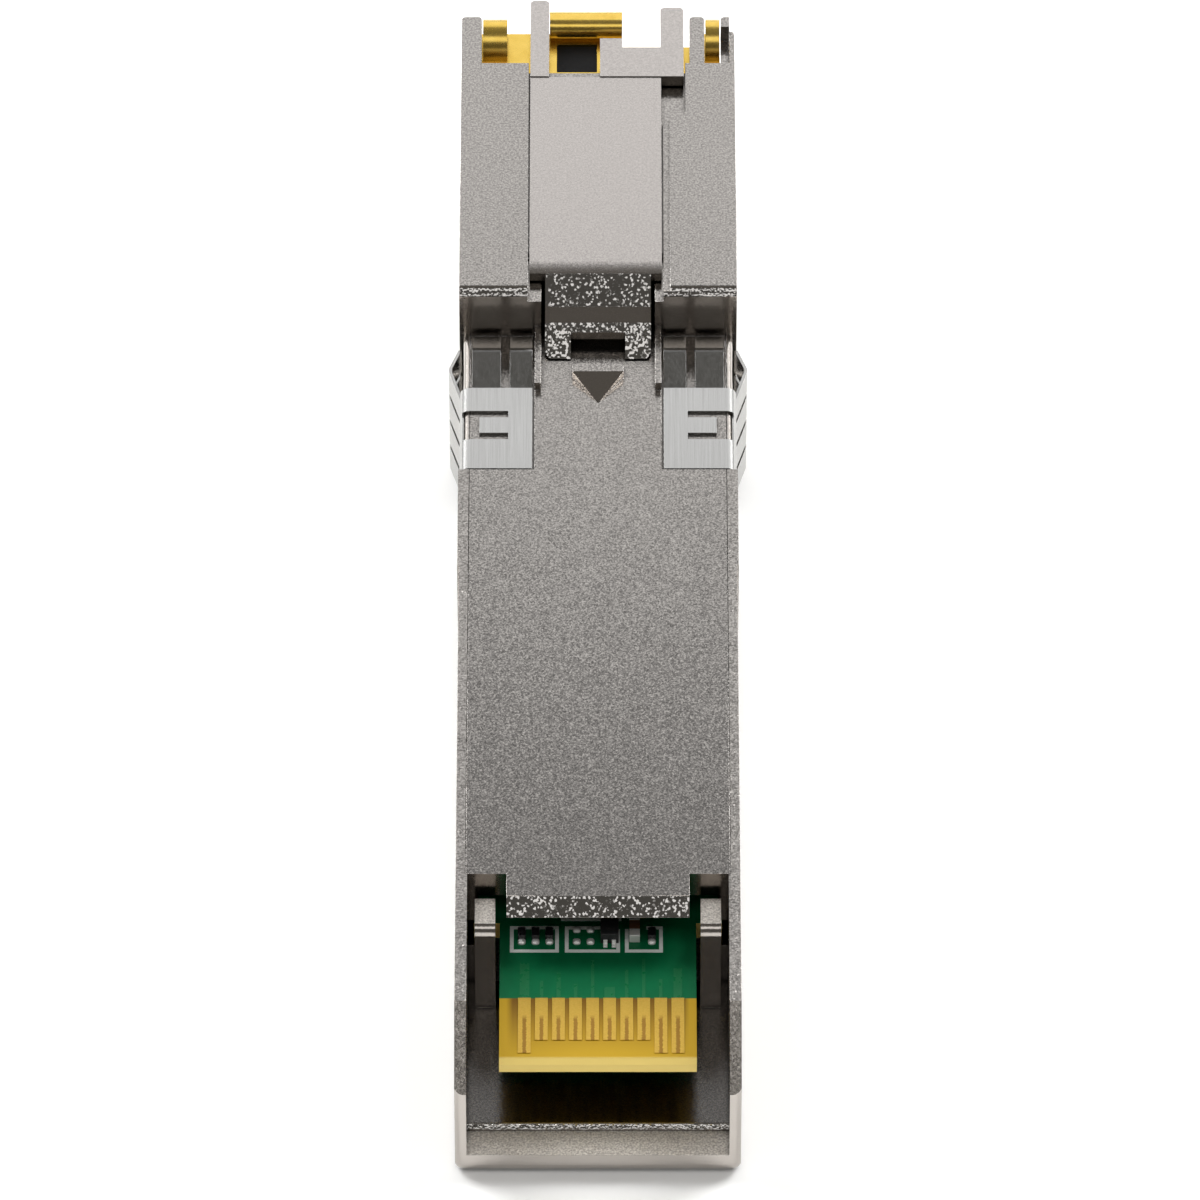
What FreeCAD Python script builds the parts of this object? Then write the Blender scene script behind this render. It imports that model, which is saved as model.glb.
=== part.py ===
import FreeCAD, Part
import math
import os
from types import SimpleNamespace

import Sketcher

# Copper transceiver module with an RJ-45 port, lying on its label side with the latch side up.
# +X runs across the module, +Y from the edge connector to the nose, +Z from the label face up.
# Stations along the module are counted from the latch shoulder, heights from the label face.

# Driving sizes in millimetres: name, value, meaning
DRIVING_SIZES = (
    # Outer form of the housing
    ("cage_width", 13.4, "width of the rear body"),
    ("front_extra", 0.15, "how much wider the front body and nose are"),
    ("cage_height", 8.5, "height of the body that enters the cage"),
    ("nose_height", 11.4, "height of the nose"),
    ("rear_reach", 44.7, "latch shoulder to rear end"),
    ("width_step", 13.2, "latch shoulder to the step in width"),
    ("nose_stop", 2.5, "latch shoulder to the nose's stop face"),
    ("nose_front", 21.8, "latch shoulder to the front of the nose"),
    ("rail_setback", 3.3, "front of the nose rails behind the front of the nose"),
    # Label-side shell
    ("side_wall", 0.55, "side wall of the shell"),
    ("shell_floor", 1.0, "floor of the shell"),
    ("rear_floor", 1.75, "thicker floor under the edge connector"),
    ("rear_floor_inset", 0.7, "cover's rear edge to the thicker floor"),
    ("lip_length", 1.52, "lowered lead-in strip at the rear end"),
    ("lip_drop", 0.3, "how far that strip lies lower"),
    ("lip_edge_round", 0.28, "rounding of the step down to that strip"),
    ("slope_run", 3.4, "length of the slope on the wall ends"),
    ("slope_drop", 2.8, "how far the wall ends fall"),
    ("board_ledge", 0.5, "ledge on which the board's edges lie"),
    ("ledge_front", 1.5, "latch shoulder to the front end of the ledges"),
    ("post_spacing", 9.65, "gap between the two board posts"),
    ("post_width", 0.97, "width of a board post"),
    ("post_overhang", 1.0, "cover's rear edge to the rear face of the posts"),
    ("post_length", 2.0, "length of a board post"),
    ("post_drop", 1.3, "how far the posts lie below the top of the walls"),
    ("post_round", 0.5, "rounding of the posts' rear top edge"),
    ("long_edge_round", 0.5, "rounding of the long label-side edges"),
    ("rear_edge_round", 0.8, "rounding of the rear end's label-side edge"),
    # Latch-side cover
    ("bay_length", 10.0, "cover's rear edge to the rear end"),
    ("cover_thickness", 1.5, "thickness of the cover"),
    ("cover_fit", 0.03, "gap between the cover and the shell's walls"),
    ("cover_lap", 0.1, "how far the cover's sides lie on a step in the shell's walls"),
    ("tongue_width", 8.6, "width of the cover between its rear notches"),
    ("notch_length", 1.4, "length of the rear notches"),
    ("lead_in", 0.73, "45 degree lead-in slope on the cover's rear edge"),
    ("boss_width", 2.5, "width of the latch boss"),
    ("boss_height", 0.45, "height of the latch boss"),
    ("boss_flat", 0.55, "flat top of the latch boss"),
    ("boss_length", 2.3, "length of the latch boss with its ramp"),
    ("rib_spacing", 5.56, "gap between the guide ribs"),
    ("rib_width", 0.46, "width of a guide rib"),
    ("rib_height", 0.5, "height of a guide rib"),
    ("rib_reach", 1.4, "latch shoulder to the rear end of the guide ribs"),
    ("rail_round", 0.45, "rounding of the nose's rear top edge"),
    ("channel_left", 3.43, "middle to the channel's left wall"),
    ("channel_right", 3.2, "middle to the channel's right wall"),
    ("channel_depth", 0.7, "depth of the slide channel"),
    ("strip_width", 0.32, "lowered strip beside the channel"),
    ("strip_drop", 0.12, "how far that strip lies lower"),
    ("strip_setback", 4.0, "front end of that strip behind the front of the rails"),
    ("well_front", 8.4, "latch shoulder to the front of the slide's well"),
    ("well_wall", 0.8, "wall between the well and the jack bay"),
    ("nose_roof", 1.3, "top of the nose to the jack bay's ceiling"),
    ("left_post_width", 1.0, "width of the left front post"),
    ("right_post_width", 0.68, "width of the right front post"),
    ("inner_post_inset", 2.235, "nose's side to the left face of the inner front post"),
    ("inner_post_width", 0.74, "width of the inner front post"),
    ("post_corner_round", 0.2, "rounding of the front posts' upright edges"),
    ("notch_wall", 0.25, "outer wall beside the notch in the right front post"),
    ("post_notch_depth", 1.0, "depth of that notch"),
    ("post_notch_setback", 0.7, "front end of that notch behind the front of the nose"),
    ("notch_wall_setback", 1.3, "front end of that outer wall behind the front of the nose"),
    ("lug_setback", 0.83, "spring lug ahead of the step between the slide's ramp and brow"),
    ("lug_length", 0.5, "length of the spring lug"),
    ("lug_side_gap", 0.15, "gap between the spring lug and its pocket's sides"),
    ("lug_share", 0.7, "share of the well's height that the spring lug takes"),
    # Latch slide
    ("slide_travel", 2.4, "travel of the slide"),
    ("slide_gap", 0.08, "running clearance of the slide"),
    ("tine_tip", 0.65, "latch shoulder to the tips of the tines"),
    ("ramp_rise", 1.25, "height of the tines' 45 degree ramp"),
    ("step_run", 0.87, "length of the step above the ramp"),
    ("step_rise", 0.23, "rise of that step"),
    ("brow_run", 1.06, "length of the brow above the step"),
    ("crown_run", 0.79, "length of the crowned rear end of the slide's upper face"),
    ("crown_drop", 0.1, "how far the crown falls to the brow"),
    ("tine_corner_round", 0.35, "rounding of the tines' outer corners"),
    ("tine_side_gap", 0.2, "gap between the tines and the ribs"),
    ("recess_depth", 0.92, "recess between the tines, measured from their tips"),
    ("block_gap", 0.3, "gap in front of the slide's block"),
    ("spring_side_gap", 0.25, "gap between the return spring and its pocket's sides"),
    ("spring_pocket_wall", 0.4, "front wall of the spring pocket"),
    ("slide_thickness", 0.6, "thickness of the slide's plate"),
    ("tongue_reach", 0.25, "how far the slide's guide tongues stand out"),
    ("tongue_thickness", 0.25, "thickness of the guide tongues"),
    ("tongue_rear", 5.5, "latch shoulder to the rear end of the guide tongues"),
    ("head_depth", 1.0, "rear of the slide's head behind the front of the rails"),
    ("head_rise", 0.06, "how far the head stands above the plate"),
    ("head_side_gap", 0.3, "gap between the head and the inner front post"),
    ("left_arm_overhang", 1.1, "front of the left arm ahead of the nose"),
    ("left_arm_width", 0.92, "width of the left arm"),
    ("right_arm_overhang", 0.6, "front of the right arm ahead of the nose"),
    ("right_arm_width", 1.14, "width of the right arm"),
    ("arm_corner_round", 0.22, "rounding of the arms' upright edges"),
    ("bump_left", 0.1, "middle to the left side of the head's bump"),
    ("bump_width", 1.1, "width of the head's bump"),
    ("bump_setback", 1.6, "front of the bump behind the front of the nose"),
    ("shelf_setback", 2.25, "front of the shelf behind the front of the nose"),
    # Return spring
    ("spring_share", 0.56, "share of the well's height that the return spring takes"),
    ("spring_wire", 0.18, "wire of the return spring"),
    ("spring_pitch", 0.8, "pitch of the return spring"),
    # Spring clip
    ("clip_sheet", 0.15, "sheet of the spring clip"),
    ("clip_seat", 0.2, "depth of the seat that holds the clip"),
    ("clip_bend", 0.32, "inner bend of the clip round the body's edges"),
    ("clip_gap", 0.12, "gap between the clip's plates and the edges of their seat"),
    ("clip_reach", 6.66, "latch shoulder to the clip's rear edge"),
    ("finger_root", 1.2, "latch shoulder to the roots of the fingers"),
    ("finger_crest", 0.85, "latch shoulder to the crest of the fingers"),
    ("finger_tip", 2.2, "latch shoulder to the tips of the fingers"),
    ("finger_rise", 0.6, "height of the crest above the plate"),
    ("finger_end_rise", 0.1, "height of the tips above the plate"),
    ("crest_run", 0.2, "half the length of the bend at the crest"),
    ("crest_bend", 0.66, "radius of the bend at the crest"),
    ("plate_inner", 3.2, "middle to the inner edge of the latch-side plates"),
    ("inner_finger_width", 1.09, "width of an inner finger"),
    ("finger_slot", 0.45, "slot between two fingers"),
    ("finger_corner", 0.6, "outer finger to the clip's side"),
    ("flank_fingers", 4, "fingers on each flank"),
    ("flank_margin", 0.9, "label face to the first flank finger"),
    ("flank_finger_width", 1.45, "width of a flank finger"),
    ("tab_corner", 0.12, "locking tab's slot to the clip's side"),
    ("tab_length", 1.4, "length of the locking tab"),
    ("tab_width", 1.05, "width of the locking tab"),
    ("tab_slot_end", 0.84, "slot beyond the tab's tip"),
    ("tab_slot_side", 0.43, "slot beside the tab"),
    ("tab_station", 3.73, "latch shoulder to the tab's middle"),
    # Circuit board
    ("board_thickness", 1.0, "thickness of the board"),
    ("board_inset", 2.5, "rear end to the board's rear end"),
    ("board_front", 8.8, "latch shoulder to the board's front end"),
    ("tip_width", 9.25, "width of the edge connector"),
    ("board_side_gap", 0.3, "gap between the board and the shell's walls"),
    ("board_shoulder_gap", 0.2, "gap between the board's shoulders and the posts"),
    ("tip_bevel", 0.25, "bevel on the edge connector"),
    ("contact_pitch", 0.8, "pitch of the edge contacts"),
    ("contact_width", 0.6, "width of an edge contact"),
    ("contact_thickness", 0.04, "thickness of an edge contact"),
    ("contact_offset", 0.15, "middle of a contact row to the middle of the board"),
    ("contact_zone", 3.95, "board's end to the inner end of the contacts"),
    ("long_contact_inset", 0.5, "board's end to the long contacts"),
    ("short_contact_inset", 1.31, "board's end to the short contacts"),
    # Small parts on the board
    ("lead_pitch", 0.4, "pitch of the small chip's leads"),
    ("lead_width", 0.2, "width of a lead"),
    ("lead_thickness", 0.1, "thickness of a lead"),
    ("lead_reach", 0.3, "length of a lead's foot"),
    ("lead_height", 0.3, "height at which the leads leave the chip"),
    ("terminal_length", 0.45, "plated ends of the filter capacitor"),
    ("footprint_size", 0.38, "side of a footprint pad"),
    ("footprint_pitch", 0.65, "pitch of the footprints"),
    ("footprint_gap", 0.75, "distance between the two pads of a footprint, counted backwards"),
    ("footprint_inset", 0.75, "cover's rear edge to the footprints' front pads"),
    ("footprint_first", -3.59, "middle to the first footprint of the left group"),
    ("footprint_second", -1.0, "middle to the first footprint of the middle group"),
    ("footprint_third", 2.54, "middle to the right footprint"),
    ("end_resistor_length", 0.55, "glazed body of a resistor beside the cover's edge"),
    ("end_resistor_height", 0.32, "height of that body"),
    ("chip_length", 1.0, "length of a chip part"),
    ("chip_height", 0.5, "height of a chip part"),
    ("capacitor_width", 0.55, "width of a chip capacitor"),
    ("resistor_width", 0.5, "width of a chip resistor"),
    ("chip_row_gap", 0.75, "board ledge to the middle of the rows of chip parts"),
    ("chip_row_inset", 3.2, "cover's rear edge to the rows of chip parts"),
    ("chip_row_pitch", 4.5, "pitch along those rows"),
    ("heat_pad_margin", 0.4, "heat pad inside the chip's outline"),
    ("magnetics_width", 9.6, "width of the transformer block"),
    ("magnetics_length", 11.0, "length of the transformer block"),
    ("magnetics_inset", 29.7, "cover's rear edge to the middle of the transformer block"),
    ("magnetics_gap", 0.25, "gap under the transformer block"),
    ("magnetics_edge", 0.4, "chamfer of the transformer block"),
    # Port
    ("shield_side_gap", 0.1, "gap between the jack's shield and the shell's walls"),
    ("port_floor", 1.5, "height of the port's floor"),
    ("port_height", 6.7, "height of the port"),
    ("tab_way_width", 6.2, "width of the way for the plug's tab"),
    ("tab_way_roof", 0.375, "moulding above the way for the plug's tab"),
    ("shield_sheet", 0.15, "sheet of the jack's shield"),
    ("shield_overhang", 0.2, "shield's front edge ahead of the nose"),
    ("bay_gap", 0.2, "gap behind the jack"),
    ("jack_back", 2.0, "length of the jack's rear block"),
    ("jack_front_gap", 0.4, "jack housing's front behind the shield's"),
    ("roof_notch", 0.95, "roof's front edge beside the bead, behind the shield's front edge"),
    ("bead_radius", 0.6, "outer radius of the shield's rolled bead"),
    ("bead_flat", 0.25, "flat between the bead's two round sides"),
    ("middle_bead", 2.4, "middle to the bead's left side"),
    ("middle_bead_width", 3.6, "width of the bead"),
    ("finger_side_gap", 0.06, "gap between the shield's arched fingers and the posts"),
    ("arch_width", 1.2, "width of the left arched finger"),
    ("arch_root", 1.97, "root of an arched finger behind the shield's front edge"),
    ("arch_swell", 1.3, "radius of its rear quarter"),
    ("arch_bend", 0.96, "radius of its bend down to the tip"),
    ("arch_tip", 0.28, "tip of an arched finger ahead of the shield's front edge"),
    ("arch_tip_rise", 0.33, "height of that tip above the shield's roof"),
    ("window_left", 2.05, "middle to the left side of the roof window"),
    ("window_width", 2.0, "width of the roof window"),
    ("window_setback", 0.75, "roof window behind the shield's front edge"),
    ("window_length", 2.0, "length of the roof window"),
    ("wire_row", 7.14, "distance between the outer contact wires"),
    ("wire_width", 0.35, "width of a contact wire"),
    ("wire_thickness", 0.2, "thickness of a contact wire"),
    ("wire_tail", 0.9, "length of the soldered tails"),
    ("wire_run", 4.0, "length of the sloped part of the wires"),
    ("wire_tip", 2.2, "height of the wires' tips"),
    ("comb_width", 0.4, "width of the ribs between the wires"),
    ("comb_height", 1.1, "height of those ribs above the port's floor"),
)

# Moulded parts on the board: name, width, length, height, middle across, distance of the middle from the
# cover's rear edge, side of the board
BOARD_PARTS = (
    ("transceiver_chip", 8.0, 8.0, 0.9, 0.0, 14.2, "label"),
    ("memory_chip", 2.6, 2.0, 0.75, -2.6, 6.7, "latch"),
    ("clock_crystal", 3.2, 2.5, 0.8, 2.2, 20.7, "latch"),
    ("regulator_chip", 2.6, 3.0, 0.9, -2.4, 13.2, "latch"),
    ("power_inductor", 2.5, 2.0, 1.2, 2.5, 13.2, "latch"),
    ("signal_chip", 0.85, 1.25, 0.65, 0.55, 0.55, "latch"),
    ("filter_capacitor", 0.5, 0.55, 0.5, 1.73, 0.7, "latch"),
)
BOARD_PART_FIELDS = ("width", "length", "height", "across", "inset")

# Contact wires of the jack
WIRE_COUNT = 8

# Contacts that reach further towards the board's end, counted from the left
LONG_CONTACTS = {"latch": (0, 8, 9), "label": (0, 3, 6)}


class Size:
    """A length that remembers the sheet formula it comes from."""

    def __init__(self, formula, value):
        self.formula = formula
        self.value = float(value)

    def joined(self, sign, other, value):
        return Size(f"({self.formula} {sign} {other.formula})", value)

    def __add__(self, other):
        other = as_size(other)
        return self.joined("+", other, self.value + other.value)

    def __sub__(self, other):
        other = as_size(other)
        return self.joined("-", other, self.value - other.value)

    def __mul__(self, other):
        other = as_size(other)
        return self.joined("*", other, self.value * other.value)

    def __truediv__(self, other):
        other = as_size(other)
        return self.joined("/", other, self.value / other.value)

    def __neg__(self):
        return Size(f"(0 - {self.formula})", -self.value)


def as_size(number):
    """Turn a plain number into a size, and leave a size as it is."""
    return number if isinstance(number, Size) else Size(repr(float(number)), number)


def add_sheet(doc):
    """Write the driving sizes to a sheet and give them back by name."""
    sheet = doc.addObject("Spreadsheet::Sheet", "sizes")
    named = SimpleNamespace()
    rows = list(DRIVING_SIZES)
    for label, *values, side in BOARD_PARTS:
        for field, value in zip(BOARD_PART_FIELDS, values):
            rows.append((f"{label}_{field}", value, f"{field} of the {label}, {side} side"))
    for row, (alias, value, meaning) in enumerate(rows, start=1):
        sheet.set(f"A{row}", meaning)
        sheet.set(f"B{row}", str(value))
        sheet.setAlias(f"B{row}", alias)
        setattr(named, alias, Size(f"sizes.{alias}", value))
    doc.recompute()
    return named


def add_following_sizes(d):
    """Work out the sizes that follow from the driving ones."""
    d.front_width = d.cage_width + d.front_extra
    d.inside = d.cage_width / 2 - d.side_wall
    d.cover_reach = d.rear_reach - d.bay_length
    d.rear_floor_start = d.cover_reach - d.rear_floor_inset
    d.post_rear = d.cover_reach + d.post_overhang
    d.post_top = d.cage_height - d.post_drop
    d.board_base = d.cage_height / 2
    d.board_top = d.board_base + d.board_thickness
    d.board_end = d.rear_reach - d.board_inset
    d.rail_front = d.nose_front - d.rail_setback
    d.strip_front = d.rail_front - d.strip_setback
    d.head_rear = d.rail_front - d.head_depth
    d.left_arm_front = d.nose_front + d.left_arm_overhang
    d.inner_post_left = d.front_width / 2 - d.inner_post_inset
    d.inner_post_right = d.inner_post_left + d.inner_post_width
    d.right_post_left = d.front_width / 2 - d.right_post_width
    d.left_post_right = -d.front_width / 2 + d.left_post_width
    d.head_right = d.inner_post_left - d.head_side_gap
    d.well_height = d.nose_height - d.slide_thickness - d.cage_height
    d.lug_height = d.well_height * d.lug_share
    d.spring_diameter = d.well_height * d.spring_share
    d.spring_pocket_half = d.spring_diameter / 2 + d.spring_side_gap
    d.ramp_end = d.tine_tip + d.ramp_rise
    d.step_end = d.ramp_end + d.step_run
    d.plate_rear = d.step_end + d.brow_run
    d.crown_start = d.plate_rear + d.crown_run
    d.crown_foot = d.nose_height - d.crown_drop
    d.crown_round = (d.crown_run * d.crown_run + d.crown_drop * d.crown_drop) / (d.crown_drop * 2)
    d.lug_rear = d.step_end + d.lug_setback
    d.block_front = d.well_front - d.block_gap
    d.spring_pocket_front = d.block_front - d.spring_pocket_wall
    d.bay_start = d.well_front + d.well_wall
    d.bay_roof = d.nose_height - d.nose_roof
    d.port_half = d.inside - d.shield_side_gap - d.shield_sheet
    d.shield_front = d.nose_front + d.shield_overhang
    d.shield_roof = d.bay_roof - d.shield_sheet / 2
    d.bead_right = -d.middle_bead + d.middle_bead_width
    d.roof_notch_rear = d.shield_front - d.roof_notch
    d.jack_rear = d.bay_start + d.bay_gap
    d.jack_block_front = d.jack_rear + d.jack_back


class Bend:
    """An arc from one corner of an outline to the next, in place of a straight line."""

    def __init__(self, radius, left_turn=True):
        self.radius = radius
        self.left_turn = left_turn

    def flipped(self):
        return Bend(self.radius, not self.left_turn)


def rectangle(left, right, low, high):
    """Corner list of a rectangle in sketch coordinates."""
    return [(left, low), (right, low), (right, high), (left, high)]


def rounded_rectangle(left, right, low, high, radius):
    """Corner list of a rectangle with round corners, a bend after every second corner."""
    bend = Bend(radius)
    return [
        (left + radius, low),
        (right - radius, low, bend),
        (right, low + radius),
        (right, high - radius, bend),
        (right - radius, high),
        (left + radius, high, bend),
        (left, high - radius),
        (left, low + radius, bend),
    ]


def mirrored(loop):
    """The same corners on the other side of the sketch's upright axis."""
    return [(-as_size(across), up, *(bend.flipped() for bend in bends)) for across, up, *bends in loop]


def oblong(start, end, height, radius):
    """Corner list of an oblong with round ends about two centres at one height."""
    bend = Bend(radius, False)
    return [
        (start, height + radius),
        (end, height + radius, bend),
        (end + radius, height, bend),
        (end, height - radius),
        (start, height - radius, bend),
        (start - radius, height, bend),
    ]


class Sub:
    """One sub-part: a body with sketches, pads, pockets and rounded edges."""

    # Plane, and whether a pad towards the plus side of its normal axis is reversed
    PLANES = {"XY": ("XY_Plane", False), "XZ": ("XZ_Plane", True), "YZ": ("YZ_Plane", False)}

    def __init__(self, doc, label, shift):
        self.doc = doc
        self.body = doc.addObject("PartDesign::Body", label)
        self.body.Label = label
        self.body.AllowCompound = True
        self.body.setExpression("Placement.Base.y", shift.formula)

    def sketch(self, plane, start, loops):
        """Sketch the loops on a plane of the body, moved to start along the plane's axis."""
        role, flipped = self.PLANES[plane]
        support = next(f for f in self.body.Origin.OriginFeatures if f.Role == role)
        sketch = self.body.newObject("Sketcher::SketchObject", f"{self.body.Label}_sketch")
        sketch.AttachmentSupport = (support, [""])
        sketch.MapMode = "FlatFace"
        offset = -as_size(start) if flipped else as_size(start)
        sketch.setExpression("AttachmentOffset.Base.z", offset.formula)
        for loop in loops:
            self.draw_outline(sketch, loop)
        return sketch

    def place_point(self, sketch, geometry, position, across, up):
        """Fix a point of the sketch at a place given by two sizes."""
        for kind, size in (("DistanceX", as_size(across)), ("DistanceY", as_size(up))):
            rule = Sketcher.Constraint(kind, -1, 1, geometry, position, size.value)
            number = sketch.addConstraint(rule)
            sketch.setExpression(f"Constraints[{number}]", size.formula)

    def draw_arc(self, sketch, point, following, bend):
        """Draw an arc between two points and tell at which of its ends it starts."""
        radius = as_size(bend.radius)
        first, last = (point, following) if bend.left_turn else (following, point)
        chord = last - first
        reach = math.sqrt(max(radius.value ** 2 - chord.Length ** 2 / 4, 0.0))
        centre = (first + last) * 0.5 + FreeCAD.Vector(-chord.y, chord.x, 0).normalize() * reach
        angles = [math.atan2(end.y - centre.y, end.x - centre.x) for end in (first, last)]
        circle = Part.Circle(centre, FreeCAD.Vector(0, 0, 1), radius.value)
        arc = sketch.addGeometry(Part.ArcOfCircle(circle, *angles), False)
        number = sketch.addConstraint(Sketcher.Constraint("Radius", arc, radius.value))
        sketch.setExpression(f"Constraints[{number}]", radius.formula)
        return (arc, 1, 2) if bend.left_turn else (arc, 2, 1)

    def draw_outline(self, sketch, corners):
        """Draw a closed outline: corners, each joined to the next by a line or by its bend."""
        points = [FreeCAD.Vector(as_size(a).value, as_size(b).value, 0) for a, b, *_ in corners]
        edges = []
        for (_, _, *bends), point, following in zip(corners, points, points[1:] + points[:1]):
            if bends:
                edges.append(self.draw_arc(sketch, point, following, bends[0]))
            else:
                edges.append((sketch.addGeometry(Part.LineSegment(point, following), False), 1, 2))
        for (edge, _, end), (following, start, _) in zip(edges, edges[1:] + edges[:1]):
            sketch.addConstraint(Sketcher.Constraint("Coincident", edge, end, following, start))
        for (edge, start, _), (across, up, *_) in zip(edges, corners):
            self.place_point(sketch, edge, start, across, up)

    def feature(self, kind, plane, start, end, loops, reverse):
        sketch = self.sketch(plane, start, loops)
        feature = self.body.newObject(f"PartDesign::{kind}", f"{self.body.Label}_{kind.lower()}")
        feature.Profile = sketch
        feature.setExpression("Length", (as_size(end) - start).formula)
        feature.Reversed = reverse
        self.body.Tip = feature
        return feature

    def pad(self, plane, start, end, *loops):
        """Add what the loops enclose, from start to end along the plane's axis."""
        return self.feature("Pad", plane, start, end, loops, self.PLANES[plane][1])

    def pocket(self, plane, start, end, *loops):
        """Cut what the loops enclose, from start to end along the plane's axis."""
        return self.feature("Pocket", plane, start, end, loops, not self.PLANES[plane][1])

    def repeat(self, feature, span, count):
        """Repeat a feature along X, the last one a span away from the first."""
        pattern = self.body.newObject("PartDesign::LinearPattern", f"{self.body.Label}_row")
        pattern.Originals = [feature]
        axis = next(f for f in self.body.Origin.OriginFeatures if f.Role == "X_Axis")
        pattern.Direction = (axis, [""])
        pattern.setExpression("Length", as_size(span).formula)
        pattern.Occurrences = count
        self.body.Tip = pattern
        return pattern

    def round_edges(self, radius, chosen):
        """Round the edges of the last feature that a test picks."""
        self.doc.recompute()
        base = self.body.Tip
        names = [f"Edge{n}" for n, edge in enumerate(base.Shape.Edges, start=1) if chosen(edge)]
        fillet = self.body.newObject("PartDesign::Fillet", f"{self.body.Label}_round")
        fillet.Base = (base, names)
        fillet.setExpression("Radius", as_size(radius).formula)
        self.body.Tip = fillet
        return fillet


def edge_lies(edge, **places):
    """Tell whether every point of an edge has the given coordinates."""
    box = edge.BoundBox
    near = 1e-4
    for axis, place in places.items():
        low = getattr(box, f"{axis.upper()}Min")
        high = getattr(box, f"{axis.upper()}Max")
        if abs(low - place) > near or abs(high - place) > near:
            return False
    return True


def housing_shell(doc, d, shift):
    """Label-side casting: a trough with thin walls, sloped wall ends and board posts."""
    part = Sub(doc, "housing_shell", shift)
    rear_half = d.cage_width / 2
    front_half = d.front_width / 2
    inside = d.inside
    beyond = d.side_wall
    part.pad("XY", 0, d.cage_height, rectangle(-front_half, front_half, -d.rear_reach, d.nose_front))
    rear = -d.rear_reach.value
    part.round_edges(d.rear_edge_round, lambda e: edge_lies(e, y=rear, z=0))
    thin = beyond.value
    part.round_edges(d.long_edge_round, lambda e: edge_lies(e, z=0) and e.BoundBox.XLength < thin)
    tall = d.long_edge_round.value
    front = d.nose_front.value
    part.round_edges(d.post_corner_round, lambda e: edge_lies(e, y=front) and e.BoundBox.ZLength > tall)

    # The rear body is narrower than the front
    top = d.cage_height + beyond
    rear_end = -d.rear_reach - beyond
    flank = rectangle(rear_half, front_half + beyond, -beyond, top)
    part.pocket("XZ", rear_end, -d.width_step, flank, mirrored(flank))

    # Trough: ledges carry the board, and the floor lies lower between and in front of them
    part.pocket("XY", d.board_base, top, rectangle(-inside, inside, -d.rear_floor_start, d.ledge_front))
    between = inside - d.board_ledge
    part.pocket("XY", d.shell_floor, top, rectangle(-between, between, -d.rear_floor_start, d.ledge_front))
    nose_end = d.nose_front + beyond
    part.pocket("XY", d.shell_floor, top, rectangle(-inside, inside, d.ledge_front, nose_end))

    # Step in the walls on which the cover's sides lie
    lap = inside + d.cover_lap
    lap_rear = -d.cover_reach + d.notch_length - d.cover_fit
    cover_base = d.cage_height - d.cover_thickness
    part.pocket("XY", cover_base, top, rectangle(-lap, lap, lap_rear, d.bay_start))

    # Connector bay at the rear, with its lowered lead-in strip and the slopes on the wall ends
    part.pocket("XY", d.rear_floor, top, rectangle(-inside, inside, rear_end, -d.rear_floor_start))
    strip = rectangle(-inside, inside, rear_end, -d.rear_reach + d.lip_length)
    part.pocket("XY", d.rear_floor - d.lip_drop, top, strip)
    step = (d.lip_length - d.rear_reach).value
    part.round_edges(d.lip_edge_round, lambda e: edge_lies(e, y=step, z=d.rear_floor.value))
    slope_start = -d.rear_reach + d.slope_run
    slope_foot = d.cage_height - d.slope_drop
    slope = [
        (slope_start, d.cage_height),
        (-d.rear_reach, slope_foot),
        (rear_end, slope_foot),
        (rear_end, top),
        (slope_start, top),
    ]
    part.pocket("YZ", -rear_half - beyond, rear_half + beyond, slope)

    # Board posts beside the edge connector
    inner = d.post_spacing / 2
    post = rectangle(inner, inner + d.post_width, -d.post_rear, -d.post_rear + d.post_length)
    part.pad("XY", d.rear_floor, d.post_top, post, mirrored(post))
    post_rear = -d.post_rear.value
    part.round_edges(d.post_round, lambda e: edge_lies(e, y=post_rear, z=d.post_top.value))

    # Seat of the spring clip round the flanks, the label face and the wall tops
    seat_half = front_half - d.clip_seat
    outer = rectangle(-front_half - beyond, front_half + beyond, -beyond, top)
    seat_top = d.cage_height - d.clip_seat
    core = rounded_rectangle(-seat_half, seat_half, d.clip_seat, seat_top, d.clip_bend)
    part.pocket("XZ", -d.clip_reach - d.clip_gap, d.nose_stop, outer, core)
    return part.body


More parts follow.
